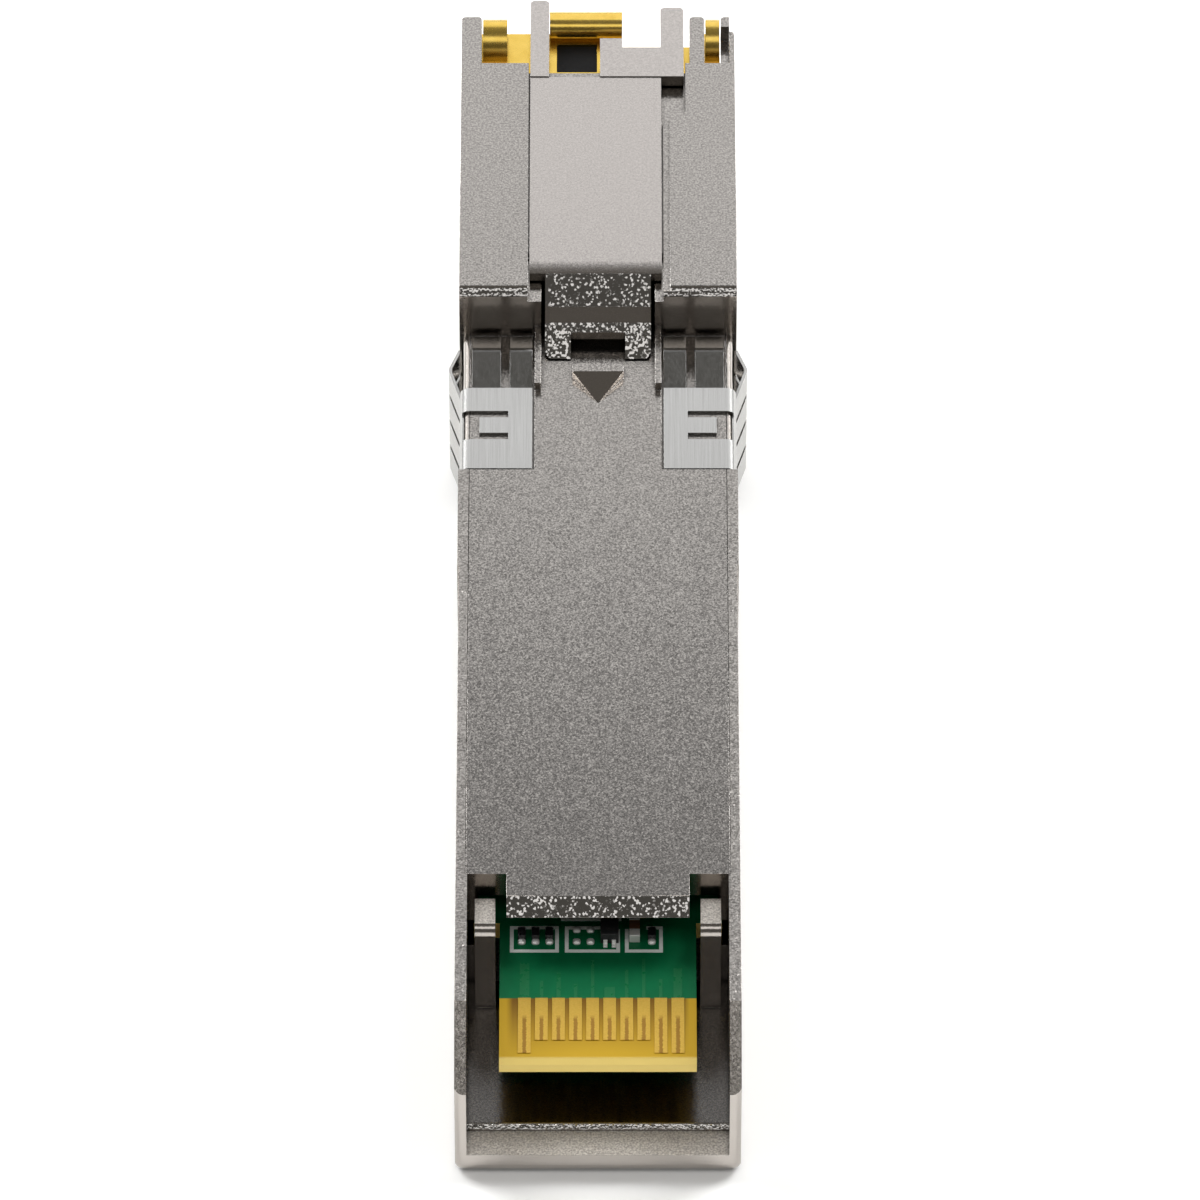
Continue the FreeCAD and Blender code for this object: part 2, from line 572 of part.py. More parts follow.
def housing_cover(doc, d, shift):
    """Latch-side casting: plate with latch boss and guide ribs, and the nose with its slide channel."""
    part = Sub(doc, "housing_cover", shift)
    inside = d.inside
    half = inside + d.cover_lap - d.cover_fit
    tongue = d.tongue_width / 2
    front_half = d.front_width / 2
    notch_front = -d.cover_reach + d.notch_length
    plate_base = d.cage_height - d.cover_thickness
    plate = [
        (-tongue, -d.cover_reach),
        (tongue, -d.cover_reach),
        (tongue, notch_front),
        (half, notch_front),
        (half, d.bay_start),
        (-half, d.bay_start),
        (-half, notch_front),
        (-tongue, notch_front),
    ]
    part.pad("XY", plate_base, d.cage_height, plate)
    lead_in = [
        (-d.cover_reach, d.cage_height),
        (-d.cover_reach - d.lead_in, d.cage_height - d.lead_in),
        (-d.cover_reach, plate_base),
    ]
    part.pad("YZ", -tongue, tongue, lead_in)

    # Nose with its rails and front posts
    nose = [
        (-front_half, d.nose_stop),
        (front_half, d.nose_stop),
        (front_half, d.nose_front),
        (d.right_post_left, d.nose_front),
        (d.right_post_left, d.rail_front),
        (d.inner_post_right, d.rail_front),
        (d.inner_post_right, d.nose_front),
        (d.inner_post_left, d.nose_front),
        (d.inner_post_left, d.rail_front),
        (d.left_post_right, d.rail_front),
        (d.left_post_right, d.nose_front),
        (-front_half, d.nose_front),
    ]
    part.pad("XY", d.cage_height, d.nose_height, nose)
    stop = d.nose_stop.value
    part.round_edges(d.rail_round, lambda e: edge_lies(e, y=stop, z=d.nose_height.value))
    upright = (d.cover_thickness / 2).value
    front = d.nose_front.value
    part.round_edges(d.post_corner_round, lambda e: edge_lies(e, y=front) and e.BoundBox.ZLength > upright)

    # Slide channel with its well, the lowered strip beside it and the pocket for the slide's head
    over = d.side_wall
    top = d.nose_height + over
    channel_base = d.nose_height - d.channel_depth
    past_front = d.nose_front + over
    channel = rectangle(-d.channel_left, d.channel_right, d.nose_stop - over, past_front)
    part.pocket("XY", channel_base, top, channel)
    rib_half = d.rib_spacing / 2
    well = rectangle(-rib_half, rib_half, d.nose_stop - over, d.well_front)
    part.pocket("XY", d.cage_height, top, well)
    strip_right = d.channel_right + d.strip_width
    strip = rectangle(d.channel_right, strip_right, d.nose_stop - over, d.strip_front)
    part.pocket("XY", d.nose_height - d.strip_drop, top, strip)
    slot = rectangle(d.channel_right, strip_right, d.strip_front, past_front)
    part.pocket("XY", channel_base, top, slot)
    head_right = d.head_right + d.slide_gap
    head_rear = d.head_rear - d.slide_travel - d.slide_gap
    part.pocket("XY", channel_base, top, rectangle(strip_right, head_right, head_rear, past_front))

    # Notch in the right front post, with a thin outer wall
    notch_base = d.nose_height - d.post_notch_depth
    notch_right = front_half - d.notch_wall
    hollow_front = d.nose_front - d.post_notch_setback
    hollow = rectangle(d.right_post_left, notch_right, d.rail_front, hollow_front)
    part.pocket("XY", notch_base, top, hollow)
    trim = rectangle(notch_right, front_half + over, d.nose_front - d.notch_wall_setback, past_front)
    part.pocket("XY", notch_base, top, trim)

    # Grooves that hold the slide's tongues down, closed towards the nose's stop face
    groove_left = -d.channel_left - d.tongue_reach
    groove_right = d.channel_right + d.tongue_reach
    groove_rear = d.tongue_rear - d.slide_travel - d.slide_gap
    groove_top = d.nose_height - d.slide_thickness + d.tongue_thickness + d.slide_gap
    groove = rectangle(groove_left, groove_right, channel_base, groove_top)
    part.pocket("XZ", groove_rear, d.strip_front, groove)

    # Jack bay, open to the front
    bay = rectangle(-inside, inside, d.bay_start, past_front)
    part.pocket("XY", d.cage_height, d.bay_roof, bay)

    # Latch boss: a flat with a ramp that narrows to a point
    boss_half = d.boss_width / 2
    boss_top = d.cage_height + d.boss_height
    boss = [
        (-d.boss_length, d.cage_height),
        (0, d.cage_height),
        (0, boss_top),
        (-d.boss_flat, boss_top),
    ]
    part.pad("YZ", -boss_half, boss_half, boss)
    corner = [
        (boss_half, -d.boss_flat),
        (boss_half + over, -d.boss_flat),
        (boss_half + over, -d.boss_length),
        (0, -d.boss_length),
    ]
    part.pocket("XY", d.cage_height, boss_top, corner, mirrored(corner))

    # Guide ribs and the lug that holds the return spring
    rib = rectangle(rib_half, rib_half + d.rib_width, -d.rib_reach, d.nose_stop)
    part.pad("XY", d.cage_height, d.cage_height + d.rib_height, rib, mirrored(rib))
    lug_half = d.spring_pocket_half - d.lug_side_gap
    lug = rectangle(-lug_half, lug_half, d.lug_rear, d.lug_rear + d.lug_length)
    part.pad("XY", d.cage_height, d.cage_height + d.lug_height, lug)

    # Seats of the clip's latch-side plates, and ribs that hold the board down
    seat_inner = d.plate_inner - d.clip_gap
    seat = rectangle(seat_inner, inside + d.cover_lap, -d.clip_reach - d.clip_gap, d.nose_stop)
    part.pocket("XY", d.cage_height - d.clip_seat, d.cage_height + over, seat, mirrored(seat))
    hold = rectangle(inside - d.board_ledge, inside - d.cover_fit, notch_front, d.ledge_front)
    part.pad("XY", d.board_top, plate_base, hold, mirrored(hold))
    return part.body


def latch_slider(doc, d, shift):
    """Slide between the nose rails, with arms at the front and ramped tines at the rear."""
    part = Sub(doc, "latch_slider", shift)
    left = -d.channel_left + d.slide_gap
    right = d.channel_right - d.slide_gap
    base = d.nose_height - d.slide_thickness
    step_foot = d.cage_height + d.slide_gap + d.ramp_rise
    step_top = step_foot + d.step_rise
    bump_right = d.bump_left + d.bump_width
    right_arm_left = d.head_right - d.right_arm_width
    left_arm_right = left + d.left_arm_width
    right_arm_front = d.nose_front + d.right_arm_overhang
    shelf_front = d.nose_front - d.shelf_setback
    bump_front = d.nose_front - d.bump_setback
    left_arm = rectangle(left, left_arm_right, d.head_rear, d.left_arm_front)
    right_head = [
        (d.bump_left, d.head_rear),
        (d.head_right, d.head_rear),
        (d.head_right, right_arm_front),
        (right_arm_left, right_arm_front),
        (right_arm_left, shelf_front),
        (bump_right, shelf_front),
        (bump_right, bump_front),
        (d.bump_left, bump_front),
    ]
    plate = [
        (d.plate_rear, base),
        (d.head_rear, base),
        (d.head_rear, d.nose_height),
        (d.crown_start, d.nose_height, Bend(d.crown_round)),
        (d.plate_rear, d.crown_foot),
    ]
    part.pad("YZ", left, right, plate)
    part.pad("XY", base, d.nose_height + d.head_rise, left_arm, right_head)
    fronts = (d.left_arm_front.value, right_arm_front.value)
    thick = (d.slide_thickness / 2).value
    part.round_edges(
        d.arm_corner_round,
        lambda e: e.BoundBox.ZLength > thick and any(edge_lies(e, y=front) for front in fronts),
    )

    # Guide tongues under the rails
    tongues = rectangle(left - d.tongue_reach, right + d.tongue_reach, base, base + d.tongue_thickness)
    part.pad("XZ", d.tongue_rear, d.strip_front - d.slide_gap, tongues)

    # Block with the ramped tines, running in the well between the ribs
    block_half = d.rib_spacing / 2 - d.tine_side_gap
    foot = d.cage_height + d.slide_gap
    block = [
        (d.tine_tip, foot),
        (d.ramp_end, step_foot),
        (d.step_end, step_top),
        (d.plate_rear, d.crown_foot, Bend(d.crown_round, False)),
        (d.crown_start, d.nose_height),
        (d.block_front, d.nose_height),
        (d.block_front, foot),
    ]
    part.pad("YZ", -block_half, block_half, block)
    corner = d.tine_corner_round
    past_tip = d.tine_tip - corner
    rounding = [
        (block_half - corner, past_tip),
        (block_half + corner, past_tip),
        (block_half + corner, d.tine_tip + corner),
        (block_half, d.tine_tip + corner, Bend(corner, False)),
        (block_half - corner, d.tine_tip),
    ]
    part.pocket("XY", foot, step_foot, rounding, mirrored(rounding))

    # Way for the latch boss, the recess between the tines and the pocket for the return spring
    way_half = d.boss_width / 2 + d.slide_gap
    way_top = d.cage_height + d.boss_height + d.slide_gap
    way_front = d.slide_travel + d.slide_gap
    below = d.cage_height
    part.pocket("XY", below, way_top, rectangle(-way_half, way_half, 0, way_front))
    recess = rectangle(-way_half, way_half, 0, d.tine_tip + d.recess_depth)
    part.pocket("XY", below, d.nose_height, recess)
    pocket_half = d.spring_pocket_half
    pocket_top = d.cage_height + d.lug_height + d.slide_gap
    pocket = rectangle(-pocket_half, pocket_half, d.lug_rear - d.slide_gap, d.spring_pocket_front)
    part.pocket("XY", below, pocket_top, pocket)
    return part.body


def slider_spring(doc, d, shift):
    """Return spring between the cover's lug and the front wall of the slide's pocket."""
    seat = d.lug_rear + d.lug_length
    far = d.spring_pocket_front
    radius = (d.spring_diameter - d.spring_wire) / 2
    length = far - seat - d.spring_wire - d.slide_gap
    axis_height = d.cage_height + d.slide_gap * 2 + d.spring_diameter / 2
    coil = doc.addObject("Part::Helix", "spring_coil")
    coil.setExpression("Radius", radius.formula)
    coil.setExpression("Pitch", d.spring_pitch.formula)
    coil.setExpression("Height", length.formula)
    section = doc.addObject("Part::RegularPolygon", "spring_section")
    section.Polygon = 8
    section.setExpression("Circumradius", (d.spring_wire / 2).formula)
    section.setExpression("Placement.Base.x", radius.formula)
    section.Placement.Rotation = FreeCAD.Rotation(FreeCAD.Vector(1, 0, 0), 90)
    spring = doc.addObject("Part::Sweep", "slider_spring")
    spring.Label = "slider_spring"
    spring.Sections = [section]
    spring.Spine = (coil, ["Edge1"])
    spring.Solid = True
    spring.Frenet = True
    spring.Placement.Rotation = FreeCAD.Rotation(FreeCAD.Vector(1, 0, 0), -90)
    start = shift + seat + d.spring_wire / 2
    spring.setExpression("Placement.Base.y", start.formula)
    spring.setExpression("Placement.Base.z", axis_height.formula)
    return spring


def finger_profile(d, surface):
    """Bent strip of a spring finger as station and height pairs, rising from a plate's surface."""
    under = surface - d.clip_sheet
    overlap = -d.finger_root - d.clip_sheet
    climb = d.finger_rise * d.crest_run / (d.finger_crest + d.finger_root)
    fall = (d.finger_rise - d.finger_end_rise) * d.crest_run / (d.finger_tip - d.finger_crest)
    before = d.finger_crest - d.crest_run
    after = d.finger_crest + d.crest_run
    return [
        (overlap, surface),
        (-d.finger_root, surface),
        (before, surface + d.finger_rise - climb, Bend(d.crest_bend, False)),
        (after, surface + d.finger_rise - fall),
        (d.finger_tip, surface + d.finger_end_rise),
        (d.finger_tip, under + d.finger_end_rise),
        (after, under + d.finger_rise - fall, Bend(d.crest_bend)),
        (before, under + d.finger_rise - climb),
        (-d.finger_root, under),
        (overlap, under),
    ]


def emi_clip(doc, d, shift):
    """Spring-steel clip round the body, with bent fingers on the latch side and on both flanks."""
    part = Sub(doc, "emi_clip", shift)
    seat_half = d.front_width / 2 - d.clip_seat
    half = seat_half + d.clip_sheet
    seat_low = d.clip_seat
    seat_high = d.cage_height - d.clip_seat
    low = seat_low - d.clip_sheet
    high = seat_high + d.clip_sheet
    inner = d.plate_inner
    tight = d.clip_bend
    wide = d.clip_bend + d.clip_sheet
    wrap = [
        (-inner, high),
        (-half + wide, high, Bend(wide)),
        (-half, high - wide),
        (-half, low + wide, Bend(wide)),
        (-half + wide, low),
        (half - wide, low, Bend(wide)),
        (half, low + wide),
        (half, high - wide, Bend(wide)),
        (half - wide, high),
        (inner, high),
        (inner, seat_high),
        (seat_half - tight, seat_high, Bend(tight, False)),
        (seat_half, seat_high - tight),
        (seat_half, seat_low + tight, Bend(tight, False)),
        (seat_half - tight, seat_low),
        (-seat_half + tight, seat_low, Bend(tight, False)),
        (-seat_half, seat_low + tight),
        (-seat_half, seat_high - tight, Bend(tight, False)),
        (-seat_half + tight, seat_high),
        (-inner, seat_high),
    ]
    part.pad("XZ", -d.clip_reach, -d.finger_root, wrap)

    # Latch-side fingers
    strip = finger_profile(d, high)
    inner_end = inner + d.inner_finger_width
    outer_start = inner_end + d.finger_slot
    outer_end = half - d.finger_corner
    part.pad("YZ", inner, inner_end, strip)
    part.pad("YZ", outer_start, outer_end, strip)
    part.pad("YZ", -inner_end, -inner, strip)
    part.pad("YZ", -outer_end, -outer_start, strip)

    # Flank fingers
    flank = [
        (across, station, *(bend.flipped() for bend in bends))
        for station, across, *bends in finger_profile(d, half)
    ]
    room = d.cage_height - d.flank_margin * 2
    pitch = (room - d.flank_finger_width) / (d.flank_fingers - 1)
    for number in range(int(d.flank_fingers.value)):
        start = d.flank_margin + pitch * number
        part.pad("XY", start, start + d.flank_finger_width, flank, mirrored(flank))

    # Slots that free the locking tabs
    slot_end = half - d.tab_corner
    tab_end = slot_end - d.tab_slot_end
    tab_inner = tab_end - d.tab_length
    tab_rear = -d.tab_station - d.tab_width / 2
    tab_front = -d.tab_station + d.tab_width / 2
    slot_rear = tab_rear - d.tab_slot_side
    slot_front = tab_front + d.tab_slot_side
    slot = [
        (tab_inner, slot_front),
        (slot_end, slot_front),
        (slot_end, slot_rear),
        (tab_inner, slot_rear),
        (tab_inner, tab_rear),
        (tab_end, tab_rear),
        (tab_end, tab_front),
        (tab_inner, tab_front),
    ]
    part.pocket("XY", seat_high - d.clip_sheet, high + d.clip_sheet, slot, mirrored(slot))
    return part.body


def circuit_board(doc, d, shift):
    """Board with its narrow, bevelled edge connector."""
    part = Sub(doc, "circuit_board", shift)
    tip = d.tip_width / 2
    wide = d.inside - d.board_side_gap
    shoulder = -d.post_rear + d.post_length + d.board_shoulder_gap
    outline = [
        (-tip, -d.board_end),
        (tip, -d.board_end),
        (tip, shoulder),
        (wide, shoulder),
        (wide, d.board_front),
        (-wide, d.board_front),
        (-wide, shoulder),
        (-tip, shoulder),
    ]
    top = d.board_top
    part.pad("XY", d.board_base, top, outline)
    bevel_top = [(-d.board_end, top), (-d.board_end + d.tip_bevel, top), (-d.board_end, top - d.tip_bevel)]
    bevel_base = [
        (-d.board_end, d.board_base),
        (-d.board_end + d.tip_bevel, d.board_base),
        (-d.board_end, d.board_base + d.tip_bevel),
    ]
    part.pocket("YZ", -tip, tip, bevel_top, bevel_base)
    return part.body


def edge_contacts(doc, d, shift, label, side, offset):
    """Ten gold contacts on one side of the edge connector."""
    part = Sub(doc, label, shift)
    count = 10
    base = d.board_top if side == "latch" else d.board_base - d.contact_thickness
    half = d.contact_width / 2
    start = -d.board_end + d.contact_zone
    loops = []
    for number in range(count):
        middle = offset + d.contact_pitch * (number - (count - 1) / 2)
        inset = d.long_contact_inset if number in LONG_CONTACTS[side] else d.short_contact_inset
        loops.append(rectangle(middle - half, middle + half, -d.board_end + inset, start))
    part.pad("XY", base, base + d.contact_thickness, *loops)
    return part.body


def arch_profile(d):
    """Bent strip of the shield's arched fingers: a quarter round from the roof, then a bend to the tip."""
    sheet = d.shield_sheet
    roof = d.shield_roof
    root = d.shield_front - d.arch_root
    crest = root + d.arch_swell
    top = roof + d.arch_swell
    tip = d.shield_front + d.arch_tip
    tip_height = roof + d.arch_tip_rise
    return [
        (root, roof - sheet),
        (root, roof, Bend(d.arch_swell, False)),
        (crest, top, Bend(d.arch_bend, False)),
        (tip, tip_height),
        (tip - sheet, tip_height, Bend(d.arch_bend - sheet)),
        (crest, top - sheet, Bend(d.arch_swell - sheet)),
        (root + sheet, roof),
        (root + sheet, roof - sheet),
    ]


def jack_shield(doc, d, shift):
    """Gold-plated shield round the jack, with a rolled bead and arched spring fingers at its front edge."""
    part = Sub(doc, "jack_shield", shift)
    inner = d.port_half
    outer = inner + d.shield_sheet
    roof = d.shield_roof
    ceiling = roof - d.shield_sheet
    tube = rectangle(-outer, outer, d.shell_floor, roof)
    hollow = rectangle(-inner, inner, d.shell_floor + d.shield_sheet, ceiling)
    part.pad("XZ", d.jack_rear, d.shield_front, tube, hollow)

    # Rolled bead on the roof's front edge, with a window behind it
    past_front = d.shield_front + d.bead_radius
    notch = rectangle(d.bead_right, d.inner_post_right, d.roof_notch_rear, past_front)
    part.pocket("XY", ceiling, roof, notch)
    bead_height = ceiling + d.bead_radius
    bead_front = d.shield_front + d.bead_flat
    bead = oblong(d.shield_front, bead_front, bead_height, d.bead_radius)
    bore = oblong(d.shield_front, bead_front, bead_height, d.bead_radius - d.shield_sheet)
    part.pad("YZ", -d.middle_bead, d.bead_right, bead, bore)
    window_front = d.shield_front - d.window_setback
    window = rectangle(
        -d.window_left,
        -d.window_left + d.window_width,
        window_front - d.window_length,
        window_front,
    )
    part.pocket("XY", ceiling - d.shield_sheet, roof, window)

    # Arched fingers beside the nose's posts
    arch = arch_profile(d)
    left_start = d.left_post_right + d.finger_side_gap
    part.pad("YZ", left_start, left_start + d.arch_width, arch)
    right_start = d.inner_post_right + d.finger_side_gap
    part.pad("YZ", right_start, d.right_post_left - d.finger_side_gap, arch)
    return part.body


def jack_housing(doc, d, shift):
    """Moulded jack: rear block, floor strip and roof with the way for the plug's tab."""
    part = Sub(doc, "jack_housing", shift)
    half = d.port_half
    front = d.shield_front - d.jack_front_gap
    low = d.shell_floor + d.shield_sheet
    high = d.shield_roof - d.shield_sheet
    port_top = d.port_floor + d.port_height
    part.pad("XZ", d.jack_rear, d.jack_block_front, rectangle(-half, half, low, high))
    part.pad("XZ", d.jack_block_front, front, rectangle(-half, half, low, d.port_floor))
    way = d.tab_way_width / 2
    way_top = high - d.tab_way_roof
    roof = [
        (-half, port_top),
        (-way, port_top),
        (-way, way_top),
        (way, way_top),
        (way, port_top),
        (half, port_top),
        (half, high),
        (-half, high),
    ]
    part.pad("XZ", d.jack_block_front, front, roof)
    part.pocket("XY", port_top, high, rectangle(d.bead_right, half, d.roof_notch_rear, front))
    slit_half = d.wire_row / 2 + d.wire_width
    slit = rectangle(-slit_half, slit_half, d.board_top, d.board_top + d.wire_thickness)
    part.pocket("XZ", d.jack_rear, d.jack_block_front, slit)

    # Comb that keeps the wires apart
    comb_row = d.wire_row + d.wire_row / (WIRE_COUNT - 1)
    first = -comb_row / 2 - d.comb_width / 2
    comb_end = d.jack_block_front + d.wire_run
    rib = rectangle(first, first + d.comb_width, d.port_floor, d.port_floor + d.comb_height)
    teeth = part.pad("XZ", d.jack_block_front, comb_end, rib)
    part.repeat(teeth, comb_row, WIRE_COUNT + 1)
    return part.body


def jack_contacts(doc, d, shift):
    """Eight spring wires from the board through the jack's rear block into the port."""
    part = Sub(doc, "jack_contacts", shift)
    base = d.board_top
    top = base + d.wire_thickness
    tip = d.jack_block_front + d.wire_run
    tail = d.board_front - d.wire_tail
    wire = [
        (tail, base),
        (d.jack_block_front, base),
        (tip, d.wire_tip),
        (tip, d.wire_tip + d.wire_thickness),
        (d.jack_block_front, top),
        (tail, top),
    ]
    first = -d.wire_row / 2 - d.wire_width / 2
    pad = part.pad("YZ", first, first + d.wire_width, wire)
    part.repeat(pad, d.wire_row, WIRE_COUNT)
    return part.body


def station_of(d, label):
    """Station of the middle of a part on the board."""
    return getattr(d, f"{label}_inset") - d.cover_reach


def board_part(doc, d, shift, label, side):
    """One moulded part on the board, a block with its sizes in the sheet."""
    width, length, height, across = (getattr(d, f"{label}_{field}") for field in BOARD_PART_FIELDS[:4])
    block = doc.addObject("Part::Box", label)
    block.Label = label
    block.setExpression("Length", width.formula)
    block.setExpression("Width", length.formula)
    block.setExpression("Height", height.formula)
    base = d.board_top if side == "latch" else d.board_base - height
    block.setExpression("Placement.Base.x", (across - width / 2).formula)
    block.setExpression("Placement.Base.y", (shift + station_of(d, label) - length / 2).formula)
    block.setExpression("Placement.Base.z", base.formula)
    return block


def magnetics_module(doc, d, shift):
    """Transformer block under the board, moulded with chamfered lower edges."""
    part = Sub(doc, "magnetics_module", shift)
    half = d.magnetics_width / 2
    low = d.shell_floor + d.magnetics_gap
    middle = d.magnetics_inset - d.cover_reach
    edge = d.magnetics_edge
    section = [
        (-half + edge, low),
        (half - edge, low),
        (half, low + edge),
        (half, d.board_base),
        (-half, d.board_base),
        (-half, low + edge),
    ]
    part.pad("XZ", middle - d.magnetics_length / 2, middle + d.magnetics_length / 2, section)
    return part.body


def signal_chip_leads(doc, d, shift):
    """Bent leads of the small chip behind the cover's edge."""
    part = Sub(doc, "signal_chip_leads", shift)
    base = d.board_top
    body_rear = station_of(d, "signal_chip") - d.signal_chip_length / 2
    half_pitch = d.lead_pitch / 2
    half = d.lead_width / 2
    lead = [
        (body_rear - d.lead_reach, base),
        (body_rear, base),
        (body_rear, base + d.lead_height),
        (body_rear - d.lead_thickness, base + d.lead_height),
        (body_rear - d.lead_thickness, base + d.lead_thickness),
        (body_rear - d.lead_reach, base + d.lead_thickness),
    ]
    for middle in (d.signal_chip_across - half_pitch, d.signal_chip_across + half_pitch):
        part.pad("YZ", middle - half, middle + half, lead)
    return part.body


def capacitor_terminals(doc, d, shift):
    """Plated ends of the filter capacitor."""
    part = Sub(doc, "capacitor_terminals", shift)
    left = d.filter_capacitor_across - d.filter_capacitor_width / 2
    right = d.filter_capacitor_across + d.filter_capacitor_width / 2
    rear = station_of(d, "filter_capacitor") - d.filter_capacitor_length / 2
    front = rear + d.filter_capacitor_length
    ends = [
        rectangle(left, right, rear - d.terminal_length, rear),
        rectangle(left, right, front, front + d.terminal_length),
    ]
    part.pad("XY", d.board_top, d.board_top + d.filter_capacitor_height, *ends)
    return part.body


def resistor_columns(d):
    """Middles, across the board, of the footprints that carry a resistor."""
    return [d.footprint_first + d.footprint_pitch * number for number in range(3)] + [d.footprint_third]


def end_resistors(doc, d, shift):
    """Glazed bodies of the resistors beside the cover's edge, each between its two pads."""
    part = Sub(doc, "end_resistors", shift)
    half = d.footprint_size / 2
    middle = d.footprint_inset - d.cover_reach - d.footprint_gap / 2
    length = d.end_resistor_length / 2
    bodies = [rectangle(x - half, x + half, middle - length, middle + length) for x in resistor_columns(d)]
    low = d.board_top + d.contact_thickness
    part.pad("XY", low, low + d.end_resistor_height, *bodies)
    return part.body


def footprint_pads(doc, d, shift):
    """Tinned pads of the footprints beside the cover's edge; two of them stay empty."""
    part = Sub(doc, "footprint_pads", shift)
    half = d.footprint_size / 2
    columns = resistor_columns(d)
    columns += [d.footprint_second + d.footprint_pitch * number for number in range(2)]
    front_row = d.footprint_inset - d.cover_reach
    pads = []
    for across in columns:
        for station in (front_row, front_row - d.footprint_gap):
            pads.append(rectangle(across - half, across + half, station - half, station + half))
    part.pad("XY", d.board_top, d.board_top + d.contact_thickness, *pads)
    return part.body


def chip_row(doc, d, shift, label, side, width):
    """A row of small chip parts along the board, soldered to its latch side."""
    part = Sub(doc, label, shift)
    across = (d.inside - d.board_ledge - d.chip_row_gap) * side
    chips = []
    for number in range(6):
        rear = d.chip_row_inset - d.cover_reach + d.chip_row_pitch * number
        chips.append(rectangle(across - width / 2, across + width / 2, rear, rear + d.chip_length))
    part.pad("XY", d.board_top, d.board_top + d.chip_height, *chips)
    return part.body


def heat_pad(doc, d, shift):
    """Soft pad that carries the transceiver chip's heat to the shell's floor."""
    part = Sub(doc, "heat_pad", shift)
    half_width = d.transceiver_chip_width / 2 - d.heat_pad_margin
    half_length = d.transceiver_chip_length / 2 - d.heat_pad_margin
    middle = station_of(d, "transceiver_chip")
    outline = rectangle(-half_width, half_width, middle - half_length, middle + half_length)
    part.pad("XY", d.shell_floor, d.board_base - d.transceiver_chip_height, outline)
    return part.body


def check_and_export(doc, pieces):
    """Stop on any failed feature or bad shape, then write one file for each sub-part."""
    for item in doc.Objects:
        if "Invalid" in item.State or "Error" in item.State:
            raise RuntimeError(f"{item.Label} failed: {item.State}")
        if item.TypeId == "PartDesign::Pocket" and item.BaseFeature:
            if item.Shape.Volume >= item.BaseFeature.Shape.Volume:
                raise RuntimeError(f"{item.Label} cuts nothing")
    os.makedirs("parts", exist_ok=True)
    for piece in pieces:
        shape = piece.Shape
        if shape.isNull() or not shape.isValid():
            raise RuntimeError(f"{piece.Label} has no valid shape")
        shape.exportStep(f"parts/{piece.Label}.step")
        print(f"{piece.Label}: {len(shape.Solids)} solids, {shape.Volume:.2f} mm3")


def main():
    doc = FreeCAD.newDocument("transceiver")
    d = add_sheet(doc)
    add_following_sizes(d)
    # The frame's origin lies under the middle of the whole length
    shift = (d.rear_reach - d.left_arm_front) / 2
    pieces = [
        housing_shell(doc, d, shift),
        housing_cover(doc, d, shift),
        latch_slider(doc, d, shift),
        slider_spring(doc, d, shift),
        emi_clip(doc, d, shift),
        circuit_board(doc, d, shift),
        edge_contacts(doc, d, shift, "edge_contacts_latch_side", "latch", d.contact_offset),
        edge_contacts(doc, d, shift, "edge_contacts_label_side", "label", -d.contact_offset),
        jack_shield(doc, d, shift),
        jack_housing(doc, d, shift),
        jack_contacts(doc, d, shift),
        magnetics_module(doc, d, shift),
    ]
    for label, *_, side in BOARD_PARTS:
        pieces.append(board_part(doc, d, shift, label, side))
    pieces.append(signal_chip_leads(doc, d, shift))
    pieces.append(capacitor_terminals(doc, d, shift))
    pieces.append(footprint_pads(doc, d, shift))
    pieces.append(end_resistors(doc, d, shift))
    pieces.append(chip_row(doc, d, shift, "chip_capacitors", -1, d.capacitor_width))
    pieces.append(chip_row(doc, d, shift, "chip_resistors", 1, d.resistor_width))
    pieces.append(heat_pad(doc, d, shift))
    doc.recompute()
    check_and_export(doc, pieces)


main()
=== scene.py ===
"""Looks of a copper pluggable transceiver: finishes, board print, solder, return spring and studio."""
import logging
import math
from dataclasses import dataclass
from enum import Enum

import bmesh
import bpy
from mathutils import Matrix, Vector


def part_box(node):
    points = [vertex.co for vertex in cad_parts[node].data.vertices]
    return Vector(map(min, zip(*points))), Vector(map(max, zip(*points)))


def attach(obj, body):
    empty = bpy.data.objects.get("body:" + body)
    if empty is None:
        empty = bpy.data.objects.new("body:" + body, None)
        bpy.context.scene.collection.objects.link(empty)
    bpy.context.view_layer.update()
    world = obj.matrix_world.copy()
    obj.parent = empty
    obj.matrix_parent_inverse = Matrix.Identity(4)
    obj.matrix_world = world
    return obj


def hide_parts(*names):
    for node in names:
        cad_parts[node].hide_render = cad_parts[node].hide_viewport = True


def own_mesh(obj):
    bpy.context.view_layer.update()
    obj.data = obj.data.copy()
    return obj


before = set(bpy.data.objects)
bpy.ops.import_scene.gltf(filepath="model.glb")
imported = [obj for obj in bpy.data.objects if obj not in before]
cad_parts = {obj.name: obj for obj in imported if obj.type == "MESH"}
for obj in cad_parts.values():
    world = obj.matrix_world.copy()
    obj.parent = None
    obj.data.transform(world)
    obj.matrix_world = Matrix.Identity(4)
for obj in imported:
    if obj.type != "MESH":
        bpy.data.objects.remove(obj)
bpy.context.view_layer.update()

MM = 0.001
WELD_GAP = 0.001 * MM
NEARLY_ZERO = 1e-6
# Blender's noise lies nearly all between these values.
NOISE_SPAN = (0.3, 0.7)
COLOURS = {"data_type": "RGBA"}
LOG = logging.getLogger("transceiver")


class Body(str, Enum):
    """The frame's bodies that new pieces ride on."""

    MODULE = "module"


class Slot(str, Enum):
    """The record's material slots that match the new pieces' finishes."""

    SPRING = "spring_steel"
    BOARD = "green_board"
    TIN = "tinned_copper"


class EdgeBreak(Enum):
    """How far, in mm, each way of making a piece rounds its sharp edges."""

    CAST = 0.09
    STAMPED = 0.025
    MOULDED = 0.05


